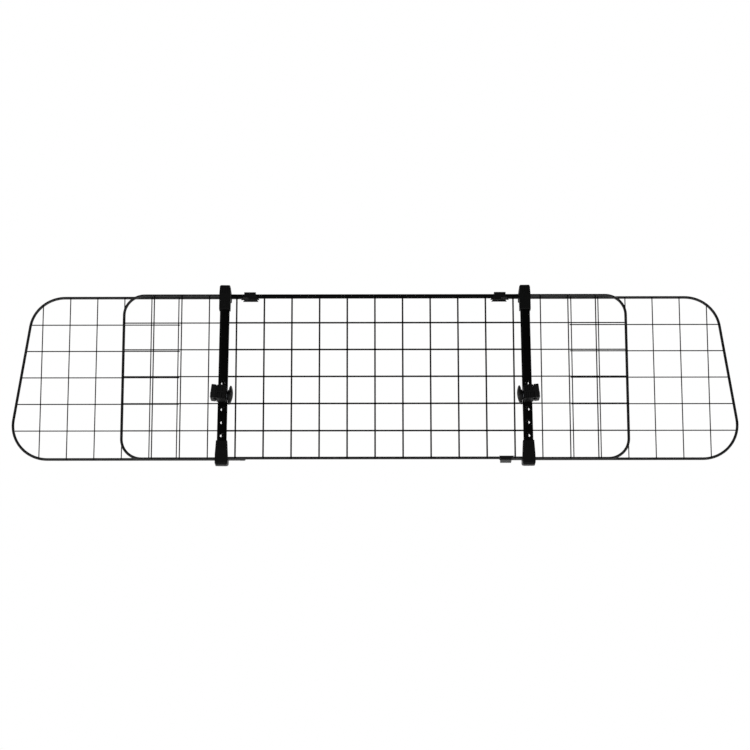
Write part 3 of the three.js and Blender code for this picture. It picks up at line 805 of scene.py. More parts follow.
@dataclass
class Layout:
    """Sizes that several sub-assemblies share, in millimetres, and the places worked out from them."""
    frame_height: float = 300.0
    post_spacing: float = 545.2
    toe_in: float = math.radians(0.6)
    pitch: float = 50.0
    column_gap: float = 20.0
    rows: int = 5
    weld_gap: float = 0.3
    run_gap: float = 0.5
    wing_clearance: float = 0.6
    wire_sink: float = 0.3
    middle_wire: float = 1.5
    top_rail: float = 4.0
    bottom_rail: float = 2.5
    side_rod: float = 2.5
    side_wire: float = 1.1
    side_top_rise: float = 3.6
    side_bottom_rise: float = 0.9
    eye_inset: float = 41.6
    eye_length: float = 13.0
    eye_height: float = 6.5
    wing_rod: float = 2.5
    wing_wire: float = 1.0
    wing_rise: float = 1.4
    post_depth: float = 11.0
    cap_wall: float = 1.6
    clamp_back: float = 21.5
    nut_front: float = 15.6
    lift: float = 40.0

    def __post_init__(self) -> None:
        """Works out the places; a name that ends in _y is a depth behind the top rail's centre line."""
        weld, run = self.weld_gap, self.run_gap
        middle, side, wing = (HEX_FLAT * r for r in (self.middle_wire, self.side_wire, self.wing_wire))
        self.half: float = self.frame_height / 2
        self.post_x: float = self.post_spacing / 2
        self.eye_tip: float = self.post_x - self.eye_inset
        # The rails' front faces are in line, and each panel's upright wires are welded in front of its rods.
        self.bottom_rail_y: float = self.bottom_rail - self.top_rail
        self.middle_column_y: float = -self.top_rail - weld - middle
        self.middle_row_y: float = self.middle_column_y + 2 * middle - self.wire_sink
        self.side_rod_y: float = self.top_rail + weld + self.side_rod
        self.side_column_y: float = self.side_rod_y - self.side_rod - weld - side
        self.side_row_y: float = self.side_column_y + 2 * side - self.wire_sink
        # The end rods fill the depth between the two panels' level wires.
        front, back = self.middle_row_y + middle + weld, self.side_row_y - side - weld
        self.end_rod_y: float = (front + back) / 2
        self.end_rod: float = (back - front) / 2
        # The wings slide behind the side frames.
        self.wing_column_y: float = self.side_rod_y + self.side_rod + self.wing_clearance + wing
        self.wing_row_y: float = self.wing_column_y + 2 * wing - self.wire_sink
        self.wing_rod_y: float = self.wing_column_y + wing + weld + self.wing_rod
        # Clips and caps hook round all of them, and the clamps stand against the posts' front faces.
        self.hook_front: float = self.middle_column_y - middle - run
        self.hook_back: float = self.wing_rod_y + self.wing_rod + run
        self.post_back: float = self.hook_front - self.cap_wall - weld
        self.post_front: float = self.post_back - self.post_depth
        self.setback: float = self.clamp_back + weld - self.post_front

    def in_panels(self, side: Side = Side.RIGHT) -> Matrix:
        """The panels' place; the left half is the right one mirrored."""
        return Matrix.Translation((0, self.setback, self.lift)) @ Matrix.Diagonal((side.value, 1, 1, 1))

    def in_post(self, side: Side) -> Matrix:
        """A post's place: it leans inwards about its clamp's bolt, which is level with the origin.

        Args:
            side: the post's half of the guard.

        Returns:
            Its matrix, in millimetres.
        """
        return (Matrix.Translation((side.value * self.post_x, self.setback, 0))
                @ Matrix.Rotation(-side.value * self.toe_in, 4, "Y")
                @ Matrix.Translation((0, 0, self.lift)) @ Matrix.Diagonal((side.value, 1, 1, 1)))

    def row_heights(self, pitch: float, lift: float) -> np.ndarray:
        """Heights of the level wires."""
        return lift + (np.arange(self.rows) - (self.rows - 1) / 2) * pitch

    def grid_columns(self, start: float, end: float) -> np.ndarray:
        """Places of the upright wires between two rods, on the grid that the panels share."""
        first = math.ceil((start + self.column_gap) / self.pitch)
        return np.arange(first, math.floor((end - self.column_gap) / self.pitch) + 1) * self.pitch


@dataclass
class Assembly:
    """What each sub-assembly knows: the shared sizes, the finishes and its half of the guard."""
    layout: Layout
    wardrobe: Wardrobe
    side: Side = Side.RIGHT


def past(radius: float) -> float:
    """How far a wire runs past the centre line of its rod: a third of the rod's radius."""
    return radius / 3


def upright_at(x: float, points: np.ndarray, rod_radius: float) -> Spot:
    """An upright wire's place and ends, where it is welded to the two legs of a bent rod."""
    heights = crossing(points, 0, x)
    return x, float(heights.min()) - past(rod_radius), float(heights.max()) + past(rod_radius)


def butted(points: np.ndarray, z: float, wire_radius: float, rod_radius: float, gap: float = 0.1) -> float:
    """The x at which a level wire stops against the inner side of a bent rod."""
    edges = [float(crossing(points, 1, z + k * wire_radius).max()) for k in (-1, 1)]
    return min(edges) - rod_radius - gap


@dataclass
class WireGrid:
    """A welded mesh: upright wires in front, level wires behind, and a bead at each weld.

    A column is (x, low, high) and a row (z, start, end). The beads' half sizes are shares of the wire's
    radius, but for the height of those at a rod, which is a share of the rod's.
    """
    radius: float
    column_y: float
    row_y: float
    columns: List[Spot]
    rows: List[Spot]
    rod_y: float
    rod_radius: float
    cross_shares: Spot = (1.45, 0.75, 1.45)
    end_shares: Span = (1.25, 0.75)
    bead_share: float = 0.6

    def surface(self) -> Shell:
        """The wires and their beads as one surface.

        A bead lies halfway between the centre lines of two crossing wires, or between the near part of a
        wire and the near side of its rod.

        Returns:
            All of it as one surface.
        """
        r = self.radius
        wires = [straight_rod((x, low), (x, high), self.column_y, r) for x, low, high in self.columns]
        wires += [straight_rod((start, z), (end, z), self.row_y, r) for z, start, end in self.rows]
        (x, low, high), (z, start, end) = np.array(self.columns).T, np.array(self.rows).T
        cross_x, cross_z = np.meshgrid(x, z)
        inside = (cross_x >= start.min()) & (cross_x <= end[:, None])
        between = np.full(inside.sum(), (self.column_y + self.row_y) / 2)
        crosses = np.stack([cross_x[inside], between, cross_z[inside]], -1)
        toward = math.copysign(1, self.rod_y - self.column_y)
        near = self.rod_y - toward * self.rod_radius
        depth = np.full(2 * len(x), (self.column_y + toward * self.bead_share * r + near) / 2)
        inner = past(self.rod_radius)
        ends = np.stack([np.tile(x, 2), depth, np.concatenate([low + inner, high - inner])], -1)
        across, deep = self.end_shares
        return joined([*wires, weld_beads(crosses, [share * r for share in self.cross_shares]),
                       weld_beads(ends, (across * r, deep * r, self.bead_share * self.rod_radius))])


@dataclass
class MiddlePanel(Assembly):
    """The middle panel: a heavy top rail, a lighter bottom rail, end rods and the coarse mesh."""
    overhang: float = 9.4
    row_lift: float = -0.3
    # The top rail's coat is a copy of the rods' powder coat made darker and less glossy: painted shade, so
    # the rail shows no highlight.
    matt: PowderCoat = PowderCoat("matt_coated_rail", "#030303", "#080808", (0.4, 0.52), 0.03)

    def build(self) -> None:
        """Builds the rails, the end rods hidden behind the posts, and the mesh."""
        lay, x, half = self.layout, self.layout.post_x, self.layout.half
        reach = x + self.overhang
        # The top rail takes the darker copy of the rods' coat, which is painted shade.
        for node, y, z, radius, coat in (
                ("middle_top_rail", 0.0, half, lay.top_rail, self.matt),
                ("middle_bottom_rail", lay.bottom_rail_y, -half, lay.bottom_rail, None)):
            rail = straight_rod((-reach, z), (reach, z), y, radius, sides=28, rim=0.8)
            self.wardrobe.dress(node, rail, lay.in_panels(), Slot.ROD, "guard", coat)
        low, high = -half + lay.bottom_rail + lay.weld_gap, half - lay.top_rail - lay.weld_gap
        for side in Side:
            upright = straight_rod((x, low), (x, high), lay.end_rod_y, lay.end_rod, sides=18, rim=0.4)
            self.wardrobe.dress(f"{side.word}_end_rod", upright, lay.in_panels(side), Slot.ROD, "guard")
        low, high = -half - past(lay.bottom_rail), half + past(lay.top_rail)
        end = x + past(lay.end_rod)
        grid = WireGrid(lay.middle_wire, lay.middle_column_y, lay.middle_row_y,
                        [(float(column), low, high) for column in lay.grid_columns(-x, x)],
                        [(float(z), -end, end) for z in lay.row_heights(lay.pitch, self.row_lift)],
                        rod_y=0.0, rod_radius=lay.top_rail)
        self.wardrobe.dress("middle_mesh", grid.surface(), lay.in_panels(), Slot.WIRE, "guard")


@dataclass
class SidePanel(Assembly):
    """A side panel: one rod with two round corners and pressed eyes, and its finer mesh."""
    half_width: float = 454.6
    corner: float = 36.6
    row_lift: float = 1.6
    crank_length: float = 8.0
    crank_bend: float = 9.0
    eye_round: float = 3.1
    eye_edge: float = 0.8

    def line(self) -> Tuple[np.ndarray, np.ndarray]:
        """The frame's centre line and tangents, between the middles of the two eyes, with cranked ends.

        Returns:
            The line's points and tangents.
        """
        lay, bend, wide, corner = self.layout, self.crank_bend, self.half_width, self.corner
        middle, foot = lay.eye_tip + lay.eye_length / 2, lay.eye_tip + lay.eye_length
        head = foot + self.crank_length
        top, bottom = lay.half + lay.side_top_rise, -lay.half + lay.side_bottom_rise
        return rounded_path([
            (middle, lay.half), (foot, lay.half, bend), (head, top, bend), (wide, top, corner),
            (wide, bottom, corner), (head, bottom, bend), (foot, -lay.half, bend), (middle, -lay.half)],
            BEND_STEP)

    def eye(self, z: float, rail_back: float) -> Shell:
        """The flattened tip, forward to the rail, with its pierced hole left closed by the weld.

        Args:
            z: height of the rail.
            rail_back: the rail's rear face.

        Returns:
            The eye's surface: an outline carried back in rings, each inset by a quarter circle at the faces.
        """
        lay = self.layout
        low, high = lay.eye_tip, lay.eye_tip + lay.eye_length
        front, back = rail_back + lay.weld_gap, lay.side_rod_y
        along, inward = quarter(self.eye_edge)
        depth = np.concatenate([front + along, (back - along)[::-1]])
        inset = np.concatenate([inward, inward[::-1]])
        flat = rectangle(low, z - lay.eye_height / 2, high, z + lay.eye_height / 2, self.eye_round)
        centre = np.array([(low + high) / 2, z])
        scale = 1 - inset[:, None, None] / np.array([lay.eye_length / 2, lay.eye_height / 2])
        ring = centre + (flat[None] - centre) * scale
        return through(np.stack([
            ring[..., 0], np.broadcast_to(depth[:, None], ring.shape[:2]), ring[..., 1]], -1))

    def build(self) -> None:
        """Builds the frame and the mesh."""
        lay, word, place = self.layout, self.side.word, self.layout.in_panels(self.side)
        points, tangents = self.line()
        frame_rod = joined([rod(points, tangents, lay.side_rod_y, lay.side_rod),
                            self.eye(lay.half, lay.top_rail),
                            self.eye(-lay.half, lay.bottom_rail_y + lay.bottom_rail)])
        self.wardrobe.dress(f"{word}_side_frame", frame_rod, place, Slot.ROD, "guard")
        columns = lay.grid_columns(lay.post_x, self.half_width)
        start = lay.post_x - past(lay.end_rod)
        grid = WireGrid(lay.side_wire, lay.side_column_y, lay.side_row_y,
                        [upright_at(float(x), points, lay.side_rod) for x in columns],
                        [(float(z), start, butted(points, z, lay.side_wire, lay.side_rod))
                         for z in lay.row_heights(lay.pitch, self.row_lift)], lay.side_rod_y, lay.side_rod)
        self.wardrobe.dress(f"{word}_side_mesh", grid.surface(), place, Slot.WIRE, "guard")


@dataclass(frozen=True)
class ClipShape:
    """Widths of a slide clip, in millimetres from the middle of the guard; up is -1 for a lower clip."""
    inner: float
    outer: float
    lip_inner: float
    lip_outer: float
    lip_drop: float
    up: int
    slotted: bool


TOP_CLIP = ClipShape(215.8, 236.7, 208.6, 242.3, 9.0, 1, True)
BOTTOM_CLIP = ClipShape(224.0, 243.5, 221.0, 248.6, 2.4, -1, False)


@dataclass
class SlideClip:
    """A pressed steel channel on a wing rod's tip, hooked over a rail of the middle panel."""
    layout: Layout
    shape: ClipShape
    thickness: float = 1.5
    leg_drop: float = 5.0
    fold: float = 0.8
    fold_outside: float = 1.7
    flare: float = 1.2
    trim: float = 3.0
    slot_length: float = 12.0
    slot_height: float = 2.6
    slot_margin: float = 1.8
    round_share: float = 0.48
    bevel: float = 0.3
    margin: float = 2.0

    @property
    def ceiling(self) -> float:
        """The channel's inner height past the rail's centre line, clear of rail, eye and wing rod.

        Returns:
            The height.
        """
        lay, up = self.layout, self.shape.up
        rail = lay.top_rail if up > 0 else lay.bottom_rail
        return max(rail, lay.eye_height / 2, up * lay.wing_rise + lay.wing_rod) + lay.run_gap

    def piece(self) -> bpy.types.Object:
        """Folds the channel, trims it to its tapered face and pierces it; in millimetres.

        Returns:
            The clip, in millimetres.
        """
        lay, shape, t = self.layout, self.shape, self.thickness

        def level(height: float) -> float:
            """A height past the rail's centre line, away from the middle of the guard."""
            return shape.up * (lay.half + height)

        front, back = lay.hook_front, lay.wing_rod_y + lay.wing_rod + lay.weld_gap
        leg, lip = level(-min(self.leg_drop, shape.lip_drop)), level(-shape.lip_drop)
        folded = outline([
            (front - t, lip), (front, lip), (front, level(self.ceiling), self.fold),
            (back, level(self.ceiling), self.fold), (back, leg), (back + t, leg),
            (back + t, level(self.ceiling + t), self.fold_outside),
            (front - t, level(self.ceiling + t), self.fold_outside)])
        channel = new_object(prism(folded, Axis.X, shape.lip_inner, shape.lip_outer))
        top, low = level(self.ceiling + t + self.margin), level(-shape.lip_drop - self.trim)
        tapered = outline([
            (shape.inner, top), (shape.outer, top), (shape.outer, level(0), self.flare),
            (shape.lip_outer, lip, self.flare), (shape.lip_outer, low), (shape.lip_inner, low),
            (shape.lip_inner, lip, self.flare), (shape.inner, level(0), self.flare)])
        carved(channel, [prism(tapered, Axis.Y, front - t - self.margin, back + t + self.margin)], Carve.KEEP)
        if shape.slotted:
            sill, end = lay.half - shape.lip_drop + self.slot_margin, shape.lip_outer - self.slot_margin
            hole = rectangle(end - self.slot_length, sill, end, sill + self.slot_height,
                             self.slot_height * self.round_share)
            carved(channel, [prism(hole, Axis.Y, front - t - self.margin, front + self.margin)])
        return edged(channel, self.bevel, 2)


@dataclass
class Wing(Assembly):
    """A sliding wing: one bent rod with a slanted side, its mesh and its clips."""
    pitch: float = 49.2
    columns: int = 6
    half_width: float = 639.2
    last_gap: float = 37.2
    slant: float = math.radians(8.2)
    top_corner: float = 62.8
    bottom_corner: float = 63.6
    row_lift: float = 1.45
    row_overhang: float = 3.0
    clip_inset: float = 4.0
    plain_tip: float = 238.0

    def line(self) -> Tuple[np.ndarray, np.ndarray]:
        """The rod's centre line and tangents, from its upper to its lower tip.

        Returns:
            The line's points and tangents.
        """
        lay, lean = self.layout, math.tan(self.slant)
        top, bottom = lay.half + lay.wing_rise, -lay.half + lay.wing_rise
        low_tip = BOTTOM_CLIP.inner + self.clip_inset if self.side is Side.RIGHT else self.plain_tip
        return rounded_path([
            (TOP_CLIP.inner + self.clip_inset, top), (self.half_width - top * lean, top, self.top_corner),
            (self.half_width - bottom * lean, bottom, self.bottom_corner), (low_tip, bottom)], BEND_STEP)

    def build(self) -> None:
        """Builds the rod, the mesh and the clips."""
        lay, place, wing = self.layout, self.layout.in_panels(self.side), f"{self.side.word}_wing"
        points, tangents = self.line()
        spots = self.half_width - self.last_gap - np.arange(self.columns) * self.pitch
        start = float(spots[-1]) - self.row_overhang
        grid = WireGrid(lay.wing_wire, lay.wing_column_y, lay.wing_row_y,
                        [upright_at(float(x), points, lay.wing_rod) for x in spots],
                        [(float(z), start, butted(points, z, lay.wing_wire, lay.wing_rod))
                         for z in lay.row_heights(self.pitch, self.row_lift)], lay.wing_rod_y, lay.wing_rod)
        bent_rod = rod(points, tangents, lay.wing_rod_y, lay.wing_rod)
        self.wardrobe.dress(f"{wing}_frame", bent_rod, place, Slot.ROD, wing)
        self.wardrobe.dress(f"{wing}_mesh", grid.surface(), place, Slot.WIRE, wing)
        clips = {"top": TOP_CLIP, "bottom": BOTTOM_CLIP} if self.side is Side.RIGHT else {"top": TOP_CLIP}
        for end, shape in clips.items():
            self.wardrobe.dress(f"{wing}_{end}_clip", SlideClip(lay, shape).piece(), place, Slot.SHEET, wing)


@dataclass
class HexBolt:
    """A low round-headed bolt with a hexagon socket; the head lies under zero and the shank rises from it."""
    head_radius: float
    head_height: float
    length: float
    shank: float = 3.0
    tip: float = 0.6
    socket_across: float = 4.0
    socket_depth: float = 1.3
    rings: int = 12
    around: int = 36
    bevel: float = 0.15
    flat_angle: float = 55.0
    margin: float = 1.0

    def piece(self, axis: Axis, place: Sequence[float], sign: int) -> bpy.types.Object:
        """Turns the bolt, lays it along an axis and sinks its socket.

        Args:
            axis: the axis that its shank runs along.
            place: where the head's seat lies.
            sign: -1 when the shank points down the axis.

        Returns:
            The piece, in millimetres.
        """
        angle = np.linspace(0, np.pi / 2, self.rings)
        head = np.stack([self.head_radius * np.sin(angle), -self.head_height * np.cos(angle)], -1)[1:]
        shank = [(self.shank, 0), (self.shank, self.length - self.tip), (self.shank - self.tip, self.length)]
        body = new_object(laid(turned(np.concatenate([head, shank]), self.around), axis, place, sign))
        socket = prism(around_circle(self.socket_across / math.sqrt(3), 6), Axis.Z,
                       -self.head_height - self.margin, -self.head_height + self.socket_depth)
        carved(body, [laid(socket, axis, place, sign)])
        return edged(body, self.bevel, 2, self.flat_angle)


@dataclass
class Post(Assembly):
    """A headrest post: a flat-sided tube with five holes, and two moulded caps that grip the rails."""
    width: float = 17.5
    wall: float = 1.5
    corner: float = 4.5
    end_inset: float = 6.0
    rim: float = 0.4
    hole: float = 3.75
    hole_sides: int = 40
    holes: int = 5
    hole_pitch: float = 24.0
    first_hole: float = 16.0
    tube_bevel: float = 0.35
    gap: float = 0.3
    margin: float = 1.0
    # Both caps
    cap_back: float = 2.6
    cap_edge: float = 1.5
    cap_bevel: float = 0.5
    hook_fold: float = 0.8
    leg_drop: float = 6.5
    groove_pitch: float = 4.4
    groove_width: float = 1.3
    groove_depth: float = 0.7
    groove_round: float = 0.5
    # Top cap
    crown_rise: float = 16.0
    sleeve_reach: float = 30.0
    chamfer: float = 3.0
    crown_drop: float = 7.2
    sleeve_half: float = 10.1
    head_half: float = 10.35
    shoulder_half: float = 9.6
    crown_half: float = 7.5
    # Foot cap
    sole_drop: float = 16.0
    foot_reach: float = 28.5
    foot_corner: float = 4.0
    flare: float = 3.0
    sole_rise: float = 9.0
    neck_half: float = 9.9
    foot_half: float = 11.4
    foot_grooves: Span = (15.0, 24.0)

    def tube(self) -> bpy.types.Object:
        """The tube: rings up the outside, over the rounded rim, down the inside and over the lower rim.

        Each ring is a rectangle of half sizes and corner radius less its inset.

        Returns:
            The piece, in millimetres.
        """
        half, wall, wide, corner = self.layout.half - self.end_inset, self.wall, self.width / 2, self.corner
        front, back = self.layout.post_front, self.layout.post_back
        inset, rise = quarter(self.rim)
        z = np.concatenate([-half + rise[::-1], half - rise, half - rise[::-1], -half + rise])
        insets = np.concatenate([inset[::-1], inset, wall - inset[::-1], wall - inset])
        ring = np.stack([rectangle(-wide + s, front + s, wide - s, back - s, corner - s) for s in insets])
        heights = np.broadcast_to(z[:, None], ring.shape[:2])
        piece = new_object(through(np.concatenate([ring, heights[..., None]], -1), looped=True))
        length = self.layout.post_depth + 2 * self.margin
        carved(piece, [drill(Axis.Y, (0, front - self.margin, -self.first_hole - n * self.hole_pitch),
                             self.hole, length, self.hole_sides) for n in range(self.holes)])
        return edged(piece, self.tube_bevel)

    def cap(self, side: np.ndarray, face: np.ndarray, half: float, seat: Span,
            grooves: Span) -> bpy.types.Object:
        """A moulded cap: two outlines pushed through each other, then its seat and grooves cut.

        Args:
            side: its outline from the side.
            face: its outline from the front.
            half: half its width.
            seat: the heights between which the tube's seat is hollowed.
            grooves: the heights between which its three shallow front grooves run.

        Returns:
            The piece, in millimetres.
        """
        lay, gap, wide = self.layout, self.gap, self.width / 2
        front = lay.post_front - gap - lay.cap_wall - self.margin
        piece = new_object(prism(side, Axis.X, -half, half))
        back = lay.hook_back + self.cap_back + self.margin
        carved(piece, [prism(face, Axis.Y, front, back)], Carve.KEEP)
        hollow = rectangle(-wide - gap, lay.post_front - gap, wide + gap, lay.post_back + gap,
                           self.corner + gap)
        carved(piece, [prism(hollow, Axis.Z, *seat)])
        w = self.groove_width / 2
        carved(piece, [prism(rectangle(x - w, grooves[0], x + w, grooves[1], self.groove_round), Axis.Y,
                             front, front + self.margin + self.groove_depth)
                       for x in (-self.groove_pitch, 0.0, self.groove_pitch)])
        return edged(piece, self.cap_bevel)

    def top_cap(self) -> bpy.types.Object:
        """The upper cap, with a chamfered crown.

        Returns:
            The piece, in millimetres.
        """
        lay, edge, fold, chamfer = self.layout, self.cap_edge, self.hook_fold, self.chamfer
        half, hook, back = lay.half, lay.hook_front, lay.hook_back + self.cap_back
        front = lay.post_front - self.gap - lay.cap_wall
        crown, end, leg = half + self.crown_rise, half - self.sleeve_reach, half - self.leg_drop
        ceiling = half + max(lay.top_rail, lay.side_top_rise + lay.side_rod) + lay.run_gap
        side = outline([
            (front, end, edge), (front, crown, chamfer), (hook, crown, chamfer),
            (back, crown - self.crown_drop, edge), (back, leg), (lay.hook_back, leg),
            (lay.hook_back, ceiling, fold), (hook, ceiling, fold), (hook, end)])
        sleeve, head, shoulder, top = self.sleeve_half, self.head_half, self.shoulder_half, self.crown_half
        face = outline([
            (-sleeve, end), (sleeve, end), (head, half), (shoulder, crown - chamfer, edge),
            (top, crown, fold), (-top, crown, fold), (-shoulder, crown - chamfer, edge), (-head, half)])
        return self.cap(side, face, head, (end - self.margin, half - self.end_inset + self.gap),
                        (half, crown - chamfer))

    def foot_cap(self) -> bpy.types.Object:
        """The lower cap, with a flat sole and a flared neck.

        Returns:
            The piece, in millimetres.
        """
        lay, edge, fold, corner = self.layout, self.cap_edge, self.hook_fold, self.foot_corner
        low, hook, back = -lay.half, lay.hook_front, lay.hook_back + self.cap_back
        front = lay.post_front - self.gap - lay.cap_wall
        sole, end, leg = low - self.sole_drop, low + self.foot_reach, low + self.leg_drop
        floor = low - lay.bottom_rail - lay.run_gap
        side = outline([
            (front, end, edge), (hook, end), (hook, floor, fold), (lay.hook_back, floor, fold),
            (lay.hook_back, leg), (back, leg), (back, sole + self.sole_rise, edge), (hook, sole),
            (front, sole, corner)])
        neck, foot, bulge = self.neck_half, self.foot_half, low + self.flare
        face = outline([(-neck, end), (-foot, bulge, corner), (-foot, sole, corner), (foot, sole, corner),
                        (foot, bulge, corner), (neck, end)])
        grooves = (low + self.foot_grooves[0], low + self.foot_grooves[1])
        return self.cap(side, face, foot, (low + self.end_inset - self.gap, end + self.margin), grooves)

    def swivel_bolt(self) -> bpy.types.Object:
        """The bolt from behind the tube into the clamp's nut.

        Returns:
            The piece, in millimetres.
        """
        head = self.layout.post_back + self.gap
        bolt = HexBolt(head_radius=6.0, head_height=2.6,
                       length=head + self.layout.setback - self.layout.nut_front)
        return bolt.piece(Axis.Y, (0, head, -self.first_hole - self.hole_pitch), -1)

    def build(self) -> None:
        """Builds the tube, caps and bolt."""
        word = self.side.word
        for node, make, slot in (("post_tube", self.tube, Slot.TUBE),
                                 ("post_top_cap", self.top_cap, Slot.CAP),
                                 ("post_foot_cap", self.foot_cap, Slot.CAP),
                                 ("swivel_bolt", self.swivel_bolt, Slot.BOLT)):
            self.wardrobe.dress(f"{word}_{node}", make(), self.layout.in_post(self.side), slot,
                                f"{word}_post")


@dataclass
class StarKnob:
    """A domed knob with seven lobes on a round flange, pointing inwards from its base."""
    base: float
    screw_y: float
    radius: float = 17.5
    lobes: int = 7
    lobe_depth: float = 2.4
    flange: float = 9.5
    flange_height: float = 2.4
    rim: float = 2.6
    height: float = 9.5
    power: float = 2.2
    crown_wall: float = 1.6
    bore: float = 3.3
    soft: float = 0.7
    edge: float = 0.5
    edge_rings: int = 5
    shoulder: float = 0.9
    shoulder_rings: int = 5
    pole: float = 0.04
    dome_rings: int = 16
    ring_gap: float = 0.1
    fillet: float = 0.3
    skirt: float = 1.2
    skirt_weight: float = 0.15
    seat: float = 2.0
    steps_per_lobe: int = 18

    @property
    def bore_end(self) -> float:
        """Where the blind bore ends, along the clamp's X."""
        return self.base - self.height + self.crown_wall

    def piece(self) -> Shell:
        """Carries a profile from the bore's end round to the dome's pole, with lobes where it is wide.

        A point at share s of the radius R and turn t lies at s (R - w d/2 (1 - cos 7(t + 90 deg))), where
        w is 1 on the star and 0 on the flange, and the dome's height is rim + rise (1 - s^p).

        Returns:
            The knob, in its clamp's place.
        """
        star, edge, flange, bore = self.flange_height, self.edge, self.flange, self.bore
        share = np.concatenate([np.linspace(1, self.shoulder, self.shoulder_rings)[1:],
                                np.linspace(self.shoulder, self.pole, self.dome_rings)[1:]])
        dome = self.rim + (self.height - star - self.rim) * (1 - share ** self.power)
        under = [(bore, self.height - self.crown_wall, 0), (bore, edge, 0), (bore + edge, 0, 0),
                 (flange - edge, 0, 0), (flange, edge, 0), (flange, star - self.fillet, 0),
                 (flange + self.fillet, star, 0), (flange + self.skirt, star, self.skirt_weight),
                 (self.radius - self.soft - self.seat, star, 1)]
        whole = np.ones(self.edge_rings)
        along, inward = quarter(self.soft, self.edge_rings)
        lower = np.stack([self.radius - inward, star + along, whole], -1)
        along, inward = quarter(edge, self.edge_rings)
        upper = np.stack([self.radius - along, star + self.rim - inward, whole], -1)
        over = np.stack([self.radius * share, star + dome, np.ones(len(share))], -1)
        over = over[over[:, 0] < self.radius - edge - self.ring_gap]
        r, height, weight = np.concatenate([under, lower, upper, over]).T[:, :, None]
        t = np.linspace(0, 2 * np.pi, self.lobes * self.steps_per_lobe, endpoint=False)
        lobe = 1 - np.cos(self.lobes * (t + np.pi / 2))
        radius = r - self.lobe_depth / 2 * lobe * weight * r / self.radius
        rings = np.stack([radius * np.cos(t), radius * np.sin(t), height + 0 * t], -1)
        return laid(through(rings), Axis.X, (self.base, self.screw_y, 0), -1)


